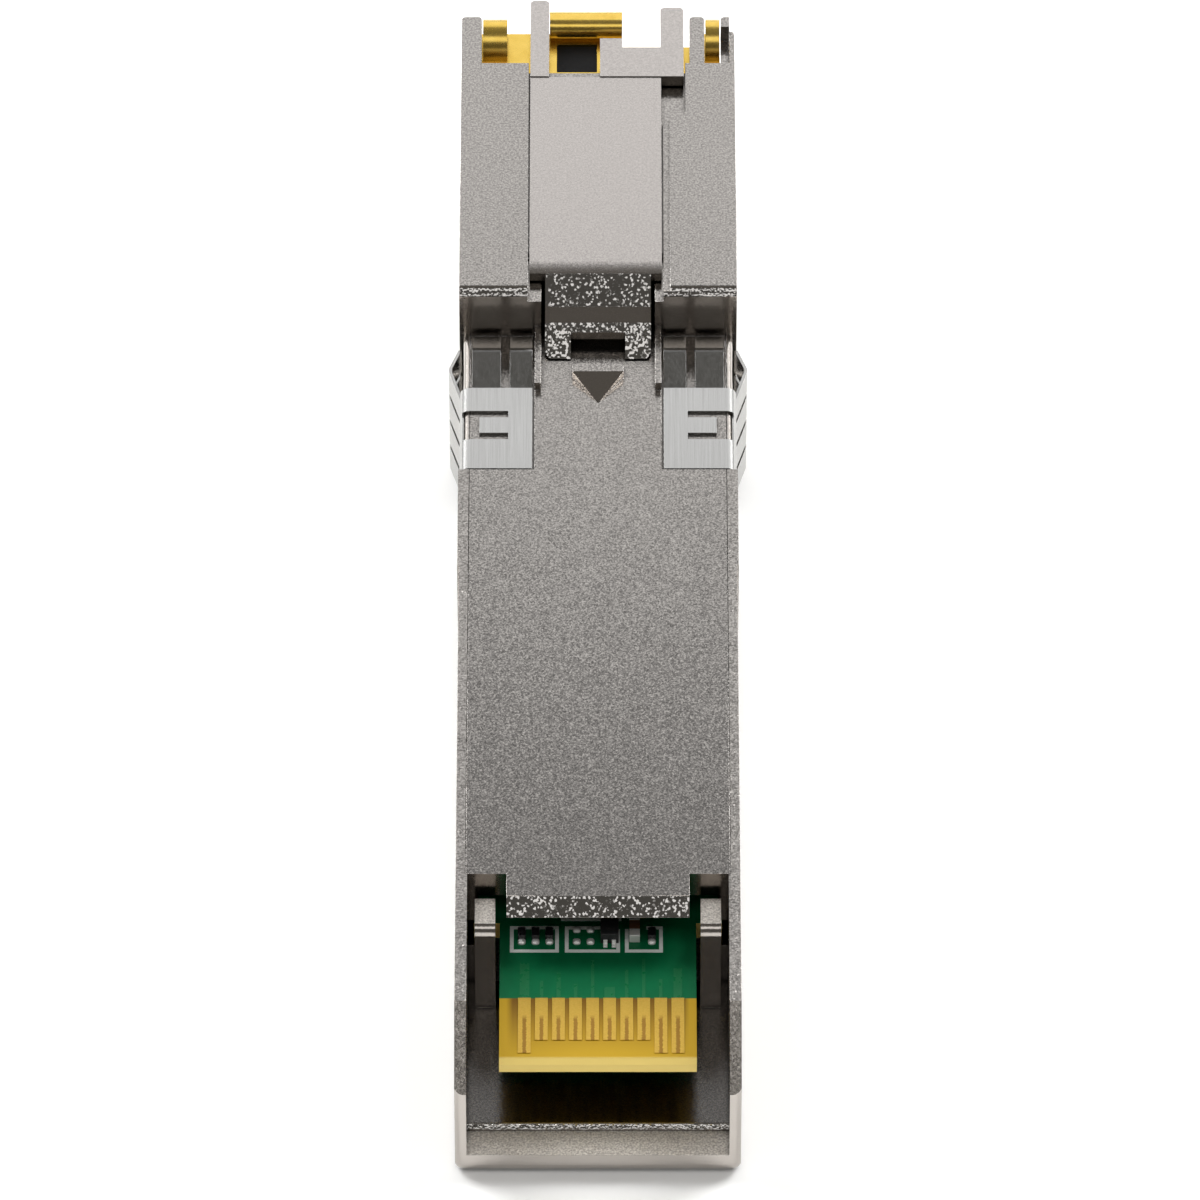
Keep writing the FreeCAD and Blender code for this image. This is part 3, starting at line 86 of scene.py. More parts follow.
def per_mm(size: float) -> float:
    """Returns the texture scale whose pattern repeats about every size mm."""
    return 1 / (size * MM)


def linear(colour: str) -> tuple[float, float, float, float]:
    """Turns an sRGB hex colour to linear light.

    Args:
        colour: the colour as #rrggbb.

    Returns:
        Red, green and blue in linear light, and an alpha of 1.
    """
    channels = [int(colour[start:start + 2], 16) / 255 for start in (1, 3, 5)]
    light = [c / 12.92 if c <= 0.04045 else ((c + 0.055) / 1.055) ** 2.4 for c in channels]
    return (light[0], light[1], light[2], 1.0)


def add_node(
    tree: bpy.types.NodeTree,
    kind: str,
    settings: dict[str, object] | None = None,
    inputs: dict[str | int, object] | None = None,
) -> bpy.types.Node:
    """Adds a node with its settings and links.

    Args:
        tree: the tree that gets the node.
        kind: the node's type.
        settings: values of the node's own properties.
        inputs: for each socket, by name or number, a plain value or another node's output.

    Returns:
        The new node.
    """
    node = tree.nodes.new(kind)
    for name, value in (settings or {}).items():
        setattr(node, name, value)
    shown = [socket for socket in node.inputs if socket.enabled]
    for key, value in (inputs or {}).items():
        socket = shown[key] if isinstance(key, int) else next(s for s in shown if s.name == key)
        if isinstance(value, bpy.types.NodeSocket):
            tree.links.new(value, socket)
        else:
            socket.default_value = value
    return node


def result(node: bpy.types.Node) -> bpy.types.NodeSocket:
    """Returns the first output of a node that is in use."""
    return next(socket for socket in node.outputs if socket.enabled)


@dataclass(frozen=True)
class Finish:
    """A surface finish, named for its material and how its surface was made."""

    name: str

    def material(self) -> bpy.types.Material:
        """Returns the finish's material, made the first time it is asked for."""
        made = bpy.data.materials.get(self.name)
        if made:
            return made
        made = bpy.data.materials.new(self.name)
        made.use_nodes = True
        tree = made.node_tree
        tree.nodes.clear()
        shader = add_node(tree, "ShaderNodeBsdfPrincipled")
        add_node(tree, "ShaderNodeOutputMaterial", inputs={"Surface": result(shader)})
        self.wire(tree, shader)
        return made

    def wire(self, tree: bpy.types.NodeTree, shader: bpy.types.Node) -> None:
        """Adds the finish's own pattern to its shader."""
        raise NotImplementedError


@dataclass(frozen=True)
class Texture:
    """How rough a face of a casting is: the spread of its gloss and the tilt of its grains."""

    roughness: float
    tilt: float


@dataclass(frozen=True)
class CastFaces:
    """Node outputs that say, from 0 to 1, which kind of face a point of a casting lies on.

    Level faces look straight up or down, and flat ones are those of them that tumbling reaches. Slopes keep the mould's
    texture, and painted-lit faces are low open flats that get a paler colour as painted light.
    """

    level: bpy.types.NodeSocket
    flat: bpy.types.NodeSocket
    slope: bpy.types.NodeSocket
    painted_lit: bpy.types.NodeSocket


@dataclass(frozen=True)
class CastNickel(Finish):
    """Nickel plate over a zinc die casting, tumbled before plating. Sizes are in mm.

    Tumbling leaves a fine satin grain on the outer flats, which gives a soft speckled grey; sheltered flats between two
    heights stay smooth. Slopes below the coarse top keep the mould's texture: each grain is a small mirror with its own
    tilt, and a slope that faces the dark shows bright specks on black. Upright and barely sloped faces slide along the
    mould and come out nearly polished. Open flats that face up below a given height get a paler colour, which is
    painted light. Upright faces get a darker, browner colour, which is painted shade, and narrow gaps are painted
    darker towards black where little open sky reaches them, which draws seams as dark lines of painted shade.

    The bands are how far up a face's normal points where one kind of face passes into the next. The painted shade band
    is the share of open sky at which the painted shade is at its darkest and at which it is gone.
    """

    plate: str = "#b8b5b2"
    upright_shade: str = "#a8a098"
    crest: str = "#aba7a2"
    pit: str = "#85817e"
    flat: Texture = Texture(0.23, 0.1)
    slope: Texture = Texture(0.1, 0.38)
    drawn: Texture = Texture(0.18, 0.04)
    grain: float = 0.075
    coarse_grain: float = 0.09
    coarse_top: float = 12.0
    pit_size: float = 0.0975
    pit_band: tuple[float, float] = (0.35, 0.65)
    sheltered: tuple[float, float] = (9.2, 11.2)
    level_band: tuple[float, float] = (0.975, 0.992)
    upright_band: tuple[float, float] = (0.12, 0.25)
    steep_band: tuple[float, float] = (0.9, 0.95)
    painted_light_tones: tuple[str, str] = ("#a5a09a", "#d8d3cc")
    painted_light_gloss: float = 0.6
    painted_light_metal: float = 0.68
    painted_light_top: float = -1.0
    painted_light_level: float = 0.9
    painted_shade_reach: float = 0.35
    painted_shade_band: tuple[float, float] = (0.1, 0.85)
    painted_shade_darkest: float = 0.05
    painted_shade_samples: int = 6

    def wire(self, tree: bpy.types.NodeTree, shader: bpy.types.Node) -> None:
        """Gives each kind of face its grain, gloss and colour."""
        where = add_node(tree, "ShaderNodeTexCoord")
        place = where.outputs["Object"]
        faces = self.sort_faces(tree, place, where.outputs["Normal"])
        self.tilt_grains(tree, shader, place, faces)
        gloss = self.by_face(tree, faces, self.flat.roughness, self.slope.roughness, self.drawn.roughness)
        for socket, plated, painted_lit in (
            ("Roughness", gloss, self.painted_light_gloss), ("Metallic", 1.0, self.painted_light_metal),
        ):
            mixed = add_node(tree, "ShaderNodeMix", {"data_type": "FLOAT"},
                             {"Factor": faces.painted_lit, "A": plated, "B": painted_lit})
            tree.links.new(result(mixed), shader.inputs[socket])
        self.colour_faces(tree, shader, place, faces)

    def sort_faces(
        self, tree: bpy.types.NodeTree, place: bpy.types.NodeSocket, normal: bpy.types.NodeSocket,
    ) -> CastFaces:
        """Tells the kinds of faces apart by height and by how they lie.

        Args:
            tree: the material's tree.
            place: the output that gives each point's place.
            normal: the output that gives each point's normal.

        Returns:
            One output for each kind of face.
        """
        spot = add_node(tree, "ShaderNodeSeparateXYZ", inputs={"Vector": place})
        height = spot.outputs["Z"]
        facing = add_node(tree, "ShaderNodeSeparateXYZ", inputs={"Vector": normal})
        upward = facing.outputs["Z"]
        either_way = add_node(tree, "ShaderNodeMath", {"operation": "ABSOLUTE"}, {0: upward})
        level = add_node(tree, "ShaderNodeMapRange", inputs={
            "Value": result(either_way), "From Min": self.level_band[0], "From Max": self.level_band[1]})
        low, high = self.sheltered
        depth = add_node(tree, "ShaderNodeMath", {"operation": "SUBTRACT"}, {0: height, 1: (low + high) / 2 * MM})
        off_middle = add_node(tree, "ShaderNodeMath", {"operation": "ABSOLUTE"}, {0: result(depth)})
        is_outer = add_node(tree, "ShaderNodeMath", {"operation": "GREATER_THAN"},
                            {0: result(off_middle), 1: (high - low) / 2 * MM})
        flat = add_node(tree, "ShaderNodeMath", {"operation": "MULTIPLY"}, {0: result(level), 1: result(is_outer)})
        not_upright = add_node(tree, "ShaderNodeMapRange", inputs={
            "Value": upward, "From Min": self.upright_band[0], "From Max": self.upright_band[1]})
        steep = add_node(tree, "ShaderNodeMapRange", inputs={
            "Value": upward, "From Min": self.steep_band[0], "From Max": self.steep_band[1],
            "To Min": 1.0, "To Max": 0.0})
        sloped = add_node(tree, "ShaderNodeMath", {"operation": "MULTIPLY"},
                          {0: result(not_upright), 1: result(steep)})
        is_coarse = add_node(tree, "ShaderNodeMath", {"operation": "LESS_THAN"},
                             {0: height, 1: self.coarse_top * MM})
        slope = add_node(tree, "ShaderNodeMath", {"operation": "MULTIPLY"},
                         {0: result(sloped), 1: result(is_coarse)})
        is_low = add_node(tree, "ShaderNodeMath", {"operation": "LESS_THAN"}, {0: height, 1: self.painted_light_top * MM})
        is_up = add_node(tree, "ShaderNodeMath", {"operation": "MULTIPLY"}, {0: result(is_low), 1: upward})
        is_open = add_node(tree, "ShaderNodeMath", {"operation": "MULTIPLY"}, {0: result(is_up), 1: result(flat)})
        painted_lit = add_node(tree, "ShaderNodeMath", {"operation": "GREATER_THAN"},
                           {0: result(is_open), 1: self.painted_light_level})
        return CastFaces(result(level), result(flat), result(slope), result(painted_lit))

    def by_face(
        self, tree: bpy.types.NodeTree, faces: CastFaces, flat: float, slope: float, drawn: float,
    ) -> bpy.types.NodeSocket:
        """Picks a value by the kind of face.

        Args:
            tree: the material's tree.
            faces: the kinds of faces.
            flat: the value on outer flats.
            slope: the value on coarse slopes.
            drawn: the value on all other faces.

        Returns:
            The output that holds the value.
        """
        on_slope = add_node(tree, "ShaderNodeMath", {"operation": "MULTIPLY_ADD"},
                            {0: faces.slope, 1: slope - drawn, 2: drawn})
        picked = add_node(tree, "ShaderNodeMath", {"operation": "MULTIPLY_ADD"},
                          {0: faces.flat, 1: flat - drawn, 2: result(on_slope)})
        return result(picked)

    def tilt_grains(
        self, tree: bpy.types.NodeTree, shader: bpy.types.Node, place: bpy.types.NodeSocket, faces: CastFaces,
    ) -> None:
        """Gives each grain a tilt of its own.

        Args:
            tree: the material's tree.
            shader: the shader that gets the tilted normals.
            place: the output that gives each point's place.
            faces: the kinds of faces.
        """
        fine, coarse = (
            add_node(tree, "ShaderNodeTexVoronoi", inputs={"Vector": place, "Scale": per_mm(size)})
            for size in (self.grain, self.coarse_grain))
        grains = add_node(tree, "ShaderNodeMix", COLOURS, {
            "Factor": faces.slope, "A": fine.outputs["Color"], "B": coarse.outputs["Color"]})
        centred = add_node(tree, "ShaderNodeVectorMath", {"operation": "SUBTRACT"},
                           {0: result(grains), 1: (0.5, 0.5, 0.5)})
        amount = self.by_face(tree, faces, self.flat.tilt, self.slope.tilt, self.drawn.tilt)
        tilt = add_node(tree, "ShaderNodeVectorMath", {"operation": "SCALE"}, {0: result(centred), "Scale": amount})
        surface = add_node(tree, "ShaderNodeNewGeometry")
        tilted = add_node(tree, "ShaderNodeVectorMath", {"operation": "ADD"},
                          {0: surface.outputs["Normal"], 1: result(tilt)})
        unit = add_node(tree, "ShaderNodeVectorMath", {"operation": "NORMALIZE"}, {0: result(tilted)})
        tree.links.new(result(unit), shader.inputs["Normal"])

    def colour_faces(
        self, tree: bpy.types.NodeTree, shader: bpy.types.Node, place: bpy.types.NodeSocket, faces: CastFaces,
    ) -> None:
        """Colours the faces, with painted light on low open flats and painted shade on upright faces and in narrow
        gaps.

        Args:
            tree: the material's tree.
            shader: the shader that gets the colour.
            place: the output that gives each point's place.
            faces: the kinds of faces.
        """
        pits = add_node(tree, "ShaderNodeTexNoise", inputs={
            "Vector": place, "Scale": per_mm(self.pit_size), "Detail": 2.0})
        shade = add_node(tree, "ShaderNodeMapRange", inputs={
            "Value": result(pits), "From Min": self.pit_band[0], "From Max": self.pit_band[1]})
        satin = add_node(tree, "ShaderNodeMix", COLOURS, {
            "Factor": result(shade), "A": linear(self.pit), "B": linear(self.crest)})
        # Painted shade: faces that are neither level nor coarse slopes take a darker, browner colour.
        bright = add_node(tree, "ShaderNodeMix", COLOURS, {
            "Factor": faces.slope, "A": linear(self.upright_shade), "B": linear(self.plate)})
        plated = add_node(tree, "ShaderNodeMix", COLOURS, {
            "Factor": faces.level, "A": result(bright), "B": result(satin)})
        # Painted light: up-facing open flats low on the casting take a paler colour.
        dull, pale = self.painted_light_tones
        painted_light = add_node(tree, "ShaderNodeMix", COLOURS, {
            "Factor": result(shade), "A": linear(dull), "B": linear(pale)})
        with_painted_light = add_node(tree, "ShaderNodeMix", COLOURS, {
            "Factor": faces.painted_lit, "A": result(plated), "B": result(painted_light)})
        # Painted shade: the colour goes towards black where the occlusion node finds little open sky, so gaps and seams
        # turn dark.
        open_sky = add_node(tree, "ShaderNodeAmbientOcclusion", {"samples": self.painted_shade_samples},
                           {"Distance": self.painted_shade_reach * MM})
        unshaded_share = add_node(tree, "ShaderNodeMapRange", inputs={
            "Value": open_sky.outputs["AO"], "From Min": self.painted_shade_band[0], "From Max": self.painted_shade_band[1],
            "To Min": self.painted_shade_darkest, "To Max": 1.0})
        with_painted_shade = add_node(tree, "ShaderNodeMix", COLOURS, {
            "Factor": result(unshaded_share), "A": (0.0, 0.0, 0.0, 1.0), "B": result(with_painted_light)})
        tree.links.new(result(with_painted_shade), shader.inputs["Base Color"])


@dataclass(frozen=True)
class RolledStrip(Finish):
    """Bright cold-rolled spring steel, as stamped.

    Rolling leaves fine lines along the strip, which draw reflections out across it. Sizes are in mm.
    """

    colour: str = "#b4b4b2"
    dull: str = "#acaba9"
    roughness: float = 0.2
    gloss_change: float = 0.04
    line: float = 0.06
    line_length: float = 4.0
    line_depth: float = 0.00025

    def wire(self, tree: bpy.types.NodeTree, shader: bpy.types.Node) -> None:
        """Draws the rolling lines in height, tone and gloss."""
        shader.inputs["Metallic"].default_value = 1.0
        where = add_node(tree, "ShaderNodeTexCoord")
        stretched = add_node(tree, "ShaderNodeMapping", {"vector_type": "POINT"}, {
            "Vector": where.outputs["Object"],
            "Scale": (per_mm(self.line), per_mm(self.line_length), per_mm(self.line))})
        lines = add_node(tree, "ShaderNodeTexNoise", inputs={
            "Vector": result(stretched), "Scale": 1.0, "Detail": 2.0})
        bump = add_node(tree, "ShaderNodeBump", inputs={
            "Strength": 1.0, "Distance": self.line_depth * MM, "Height": result(lines)})
        tree.links.new(result(bump), shader.inputs["Normal"])
        colour = add_node(tree, "ShaderNodeMix", COLOURS, {
            "Factor": result(lines), "A": linear(self.dull), "B": linear(self.colour)})
        tree.links.new(result(colour), shader.inputs["Base Color"])
        gloss = add_node(tree, "ShaderNodeMapRange", inputs={
            "Value": result(lines), "From Min": NOISE_SPAN[0], "From Max": NOISE_SPAN[1],
            "To Min": self.roughness + self.gloss_change, "To Max": self.roughness - self.gloss_change})
        tree.links.new(result(gloss), shader.inputs["Roughness"])


@dataclass(frozen=True)
class GoldPlate(Finish):
    """Thin gold over nickel on phosphor bronze, plated bright.

    It mirrors what is round it in yellow, with faint waves from the sheet below. Sizes are in mm.
    """

    colour: str = "#e5c56a"
    thin: str = "#cda947"
    roughness: float = 0.24
    wave: float = 0.6
    wave_depth: float = 0.004

    def wire(self, tree: bpy.types.NodeTree, shader: bpy.types.Node) -> None:
        """Varies the plate's thickness in tone and its waves in height."""
        shader.inputs["Metallic"].default_value = 1.0
        shader.inputs["Roughness"].default_value = self.roughness
        where = add_node(tree, "ShaderNodeTexCoord")
        waves = add_node(tree, "ShaderNodeTexNoise", inputs={
            "Vector": where.outputs["Object"], "Scale": per_mm(self.wave), "Detail": 3.0})
        bump = add_node(tree, "ShaderNodeBump", inputs={
            "Strength": 1.0, "Distance": self.wave_depth * MM, "Height": result(waves)})
        tree.links.new(result(bump), shader.inputs["Normal"])
        colour = add_node(tree, "ShaderNodeMix", COLOURS, {
            "Factor": result(waves), "A": linear(self.thin), "B": linear(self.colour)})
        tree.links.new(result(colour), shader.inputs["Base Color"])


@dataclass(frozen=True)
class WornContact(Finish):
    """Hard gold on copper pads, wiped by the host's spring contacts.

    The plate is matt and even, and each wipe leaves a dull brown streak along the middle of its pad. Sizes are in mm;
    the ragged edge is a share of the pitch.
    """

    colour: str = "#dcb95a"
    dull: str = "#c69f43"
    streak: str = "#7d5a2a"
    roughness: float = 0.42
    worn_roughness: float = 0.62
    pitch: float = 0.8
    first: float = 0.0
    streak_start: float = 0.0
    streak_fade: float = 0.15
    streak_half: float = 0.09
    streak_cover: float = 0.8
    ragged_depth: float = 0.12
    ragged_band: tuple[float, float] = (0.03, 0.09)
    speck: float = 0.09

    def wire(self, tree: bpy.types.NodeTree, shader: bpy.types.Node) -> None:
        """Draws one streak per pad, broken up by fine specks."""
        shader.inputs["Metallic"].default_value = 1.0
        where = add_node(tree, "ShaderNodeTexCoord")
        place = where.outputs["Object"]
        parts = add_node(tree, "ShaderNodeSeparateXYZ", inputs={"Vector": place})
        pads = add_node(tree, "ShaderNodeMath", {"operation": "MULTIPLY_ADD"}, {
            0: parts.outputs["X"], 1: per_mm(self.pitch), 2: 0.5 - self.first / self.pitch})
        across = add_node(tree, "ShaderNodeMath", {"operation": "FRACT"}, {0: result(pads)})
        offset = add_node(tree, "ShaderNodeMath", {"operation": "SUBTRACT"}, {0: result(across), 1: 0.5})
        distance = add_node(tree, "ShaderNodeMath", {"operation": "ABSOLUTE"}, {0: result(offset)})
        specks = add_node(tree, "ShaderNodeTexNoise", inputs={
            "Vector": place, "Scale": per_mm(self.speck), "Detail": 2.0})
        ragged = add_node(tree, "ShaderNodeMath", {"operation": "MULTIPLY_ADD"}, {
            0: result(specks), 1: self.ragged_depth, 2: result(distance)})
        edge = self.streak_half / self.pitch
        near = add_node(tree, "ShaderNodeMapRange", inputs={
            "Value": result(ragged), "From Min": edge + self.ragged_band[0], "From Max": edge + self.ragged_band[1],
            "To Min": 1.0, "To Max": 0.0})
        behind = add_node(tree, "ShaderNodeMapRange", inputs={
            "Value": parts.outputs["Y"], "From Min": (self.streak_start - self.streak_fade) * MM,
            "From Max": (self.streak_start + self.streak_fade) * MM, "To Min": self.streak_cover, "To Max": 0.0})
        worn = add_node(tree, "ShaderNodeMath", {"operation": "MULTIPLY"}, {0: result(near), 1: result(behind)})
        plate = add_node(tree, "ShaderNodeMix", COLOURS, {
            "Factor": result(specks), "A": linear(self.dull), "B": linear(self.colour)})
        colour = add_node(tree, "ShaderNodeMix", COLOURS, {
            "Factor": result(worn), "A": result(plate), "B": linear(self.streak)})
        tree.links.new(result(colour), shader.inputs["Base Color"])
        gloss = add_node(tree, "ShaderNodeMapRange", inputs={
            "Value": result(worn), "To Min": self.roughness, "To Max": self.worn_roughness})
        tree.links.new(result(gloss), shader.inputs["Roughness"])


@dataclass(frozen=True)
class MaskedLaminate(Finish):
    """Glass-fibre epoxy board under glossy green solder mask, bare at its contact end.

    The mask is deep green and shiny, and the bare laminate amber, with painted shade between the contacts that darkens
    towards the mask. The cut edges show pale glass fibre, made paler still as painted light. Sizes are in mm; the cut
    band is how far up a normal points where a face passes into a cut edge.
    """

    mask: str = "#045a35"
    mask_thin: str = "#06663e"
    bare: str = "#b39022"
    bare_shadow: str = "#6b4a16"
    edge: str = "#f6da80"
    roughness: float = 0.35
    sheen: float = 0.2
    weave: float = 0.5
    weave_depth: float = 0.004
    weave_strength: float = 0.4
    mask_end: float = 0.0
    mask_fade: float = 0.02
    contact_end: float = 0.0
    contact_half: float = 4.3
    contact_fade: float = 0.3
    bevel_start: float = 0.0
    bevel_fade: float = 0.05
    cut_band: tuple[float, float] = (0.4, 0.6)

    def wire(self, tree: bpy.types.NodeTree, shader: bpy.types.Node) -> None:
        """Lays mask, bare laminate and cut edge along the board, over the glass weave."""
        shader.inputs["Roughness"].default_value = self.roughness
        shader.inputs["Specular IOR Level"].default_value = self.sheen
        where = add_node(tree, "ShaderNodeTexCoord")
        place = where.outputs["Object"]
        parts = add_node(tree, "ShaderNodeSeparateXYZ", inputs={"Vector": place})
        facing = add_node(tree, "ShaderNodeSeparateXYZ", inputs={"Vector": where.outputs["Normal"]})
        weave = add_node(tree, "ShaderNodeTexNoise", inputs={
            "Vector": place, "Scale": per_mm(self.weave), "Detail": 4.0})
        green = add_node(tree, "ShaderNodeMix", COLOURS, {
            "Factor": result(weave), "A": linear(self.mask), "B": linear(self.mask_thin)})
        towards_mask = add_node(tree, "ShaderNodeMapRange", inputs={
            "Value": parts.outputs["Y"], "From Min": self.contact_end * MM, "From Max": self.mask_end * MM})
        inner = add_node(tree, "ShaderNodeMath", {"operation": "ABSOLUTE"}, {0: parts.outputs["X"]})
        between = add_node(tree, "ShaderNodeMapRange", inputs={
            "Value": result(inner), "From Min": self.contact_half * MM,
            "From Max": (self.contact_half - self.contact_fade) * MM})
        shaded = add_node(tree, "ShaderNodeMath", {"operation": "MULTIPLY"}, {0: result(towards_mask), 1: result(between)})
        # Painted shade: the bare laminate darkens towards the mask across the contacts.
        amber = add_node(tree, "ShaderNodeMix", COLOURS, {
            "Factor": result(shaded), "A": linear(self.bare), "B": linear(self.bare_shadow)})
        # The tip's bevel takes the pale edge colour: pale glass fibre, also made paler as painted light.
        tip = add_node(tree, "ShaderNodeMapRange", inputs={
            "Value": parts.outputs["Y"], "From Min": (self.bevel_start - self.bevel_fade) * MM,
            "From Max": (self.bevel_start + self.bevel_fade) * MM, "To Min": 1.0, "To Max": 0.0})
        pale = add_node(tree, "ShaderNodeMix", COLOURS, {
            "Factor": result(tip), "A": result(amber), "B": linear(self.edge)})
        covered = add_node(tree, "ShaderNodeMapRange", inputs={
            "Value": parts.outputs["Y"], "From Min": (self.mask_end - self.mask_fade) * MM,
            "From Max": (self.mask_end + self.mask_fade) * MM})
        face = add_node(tree, "ShaderNodeMix", COLOURS, {
            "Factor": result(covered), "A": result(pale), "B": result(green)})
        upright = add_node(tree, "ShaderNodeMath", {"operation": "ABSOLUTE"}, {0: facing.outputs["Z"]})
        # Cut faces take the same pale edge colour: pale glass fibre, also made paler as painted light.
        cut = add_node(tree, "ShaderNodeMapRange", inputs={
            "Value": result(upright), "From Min": self.cut_band[0], "From Max": self.cut_band[1],
            "To Min": 1.0, "To Max": 0.0})
        colour = add_node(tree, "ShaderNodeMix", COLOURS, {
            "Factor": result(cut), "A": result(face), "B": linear(self.edge)})
        tree.links.new(result(colour), shader.inputs["Base Color"])
        bump = add_node(tree, "ShaderNodeBump", inputs={
            "Strength": self.weave_strength, "Distance": self.weave_depth * MM, "Height": result(weave)})
        tree.links.new(result(bump), shader.inputs["Normal"])


@dataclass(frozen=True)
class Matt(Finish):
    """A moulded, sintered, fired or printed surface: two tones of one colour over a fine grain. Sizes are in mm."""

    light: str
    dark: str
    roughness: float
    grain: float
    depth: float
    metallic: float = 0.0
    sheen: float = 0.5
    gloss_change: float = 0.06

    def wire(self, tree: bpy.types.NodeTree, shader: bpy.types.Node) -> None:
        """Spreads the two tones over the grain and raises it."""
        shader.inputs["Metallic"].default_value = self.metallic
        shader.inputs["Specular IOR Level"].default_value = self.sheen
        where = add_node(tree, "ShaderNodeTexCoord")
        grain = add_node(tree, "ShaderNodeTexNoise", inputs={
            "Vector": where.outputs["Object"], "Scale": per_mm(self.grain), "Detail": 3.0})
        colour = add_node(tree, "ShaderNodeMix", COLOURS, {
            "Factor": result(grain), "A": linear(self.dark), "B": linear(self.light)})
        tree.links.new(result(colour), shader.inputs["Base Color"])
        bump = add_node(tree, "ShaderNodeBump", inputs={
            "Strength": 1.0, "Distance": self.depth * MM, "Height": result(grain)})
        tree.links.new(result(bump), shader.inputs["Normal"])
        gloss = add_node(tree, "ShaderNodeMapRange", inputs={
            "Value": result(grain), "From Min": NOISE_SPAN[0], "From Max": NOISE_SPAN[1],
            "To Min": self.roughness + self.gloss_change, "To Max": self.roughness - self.gloss_change})
        tree.links.new(result(gloss), shader.inputs["Roughness"])


# The cover's flats are satin, and its slopes sparkle.
COVER_CAST = CastNickel("nickel_plated_zinc_die_cast")
# The shell is tumbled on all its outer faces, and the bay between its walls stays smooth. Only the step down to its
# lead-in strip sparkles. Its open flats that face up and lie low, the lip and the post tops, get a paler colour as
# painted light.
SHELL_CAST = CastNickel("nickel_plated_zinc_tumbled", plate="#b7b4b0", upright_shade="#b4aea8", flat=Texture(0.3, 0.3),
                        slope=Texture(0.12, 0.6), coarse_top=1.8, sheltered=(1.6, 6.5), painted_light_top=7.5)
# The slide's upper face is rubbed smooth by its guides and by fingers.
SLIDE_CAST = CastNickel("nickel_plated_zinc_rubbed", crest="#b3aeaa", pit="#a8a39f", flat=Texture(0.26, 0.06))
# Rolled strip is a smooth, even grey that mirrors softly.
CLIP_STRIP = RolledStrip("spring_steel_cold_rolled")
# Drawn wire has the same lines as strip, finer and closer.
SPRING_WIRE = RolledStrip("spring_steel_drawn_wire", colour="#c2c2c0", line=0.03, roughness=0.25)
# Gold on stamped sheet is a deep yellow, softened by the sheet's own surface.
SHIELD_GOLD = GoldPlate("gold_plated_bronze")
# Gold on thin wires is brighter, because the wire is drawn smooth before plating.
WIRE_GOLD = GoldPlate("gold_plated_wire", roughness=0.1, wave=0.3)
# Mask over a copper track lets the copper through, so the track is a lighter, yellower green than the laminate.
TRACK_MASK = Matt("solder_mask_over_copper", "#12683d", "#0c6138", roughness=0.3, grain=0.3, depth=0.002)
# Screen-printed ink is chalky, with slightly uneven cover.
PRINT_INK = Matt("white_screen_ink", "#f2f4f2", "#d5ddd8", roughness=0.6, grain=0.12, depth=0.004)
# Reflowed tin is a bright, slightly wavy metal.
SOLDER_TIN = Matt("reflowed_tin", "#f6f6f4", "#e6e6e4", roughness=0.45, grain=0.25, depth=0.004, metallic=0.55)
# Mould compound: fine glass filler makes it dull and faintly grainy.
CHIP_EPOXY = Matt("filled_epoxy_moulded", "#2a2b2d", "#1b1c1e", roughness=0.5, grain=0.08, depth=0.004)
# Polyester with short glass fibre is a deep black with a faint sheen.
JACK_POLYMER = Matt("glass_filled_polyester_moulded", "#141415", "#0b0b0c", roughness=0.42, grain=0.12, depth=0.005,
                    sheen=0.12)
# Pressed and sintered powder is a dull, dry dark grey.
CORE_FERRITE = Matt("sintered_ferrite", "#3a393b", "#28272a", roughness=0.62, grain=0.06, depth=0.005)
# Fired ceramic is an even brown with a slight gloss.
CAPACITOR_BODY = Matt("fired_barium_titanate", "#6b4a33", "#55382a", roughness=0.45, grain=0.1, depth=0.003)
# Dark glaze over the resistor's film is smooth and glassy.
RESISTOR_BODY = Matt("glazed_alumina", "#1d1e20", "#121315", roughness=0.3, grain=0.1, depth=0.003)
# Filled silicone is soft, pale and without gloss.
PAD_SILICONE = Matt("filled_silicone_sheet", "#a9b4c4", "#8f9cb0", roughness=0.75, grain=0.2, depth=0.008)

# Angles between faces, in degrees: below the first they lie in one plane, above the second the edge between them is
# shaded sharp, and above the third it is broken.
PLANE_ANGLE = 0.6
SHARP_ANGLE = 11.0
BREAK_ANGLE = 34.0
BREAK_SEGMENTS = 2


def cad_node(name: str) -> bpy.types.Object:
    """Returns the object of a CAD node."""
    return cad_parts[name]


def shading_group() -> bpy.types.NodeTree:
    """Returns the node group that shades a mesh smooth and keeps its sharp edges sharp."""
    name = "shade_smooth_by_angle"
    made = bpy.data.node_groups.get(name)
    if made:
        return made
    made = bpy.data.node_groups.new(name, "GeometryNodeTree")
    made.interface.new_socket("Geometry", in_out="INPUT", socket_type="NodeSocketGeometry")
    made.interface.new_socket("Geometry", in_out="OUTPUT", socket_type="NodeSocketGeometry")
    entry = add_node(made, "NodeGroupInput")
    angle = add_node(made, "GeometryNodeInputMeshEdgeAngle")
    sharp = add_node(made, "FunctionNodeCompare", {"data_type": "FLOAT", "operation": "GREATER_THAN"},
                     {"A": angle.outputs["Unsigned Angle"], "B": math.radians(SHARP_ANGLE)})
    shaded = add_node(made, "GeometryNodeSetMeshNormal", {"mode": "SHARPNESS"}, {
        "Mesh": entry.outputs["Geometry"], "Remove Custom": True,
        "Edge Sharpness": result(sharp), "Face Sharpness": False})
    add_node(made, "NodeGroupOutput", inputs={"Geometry": result(shaded)})
    return made


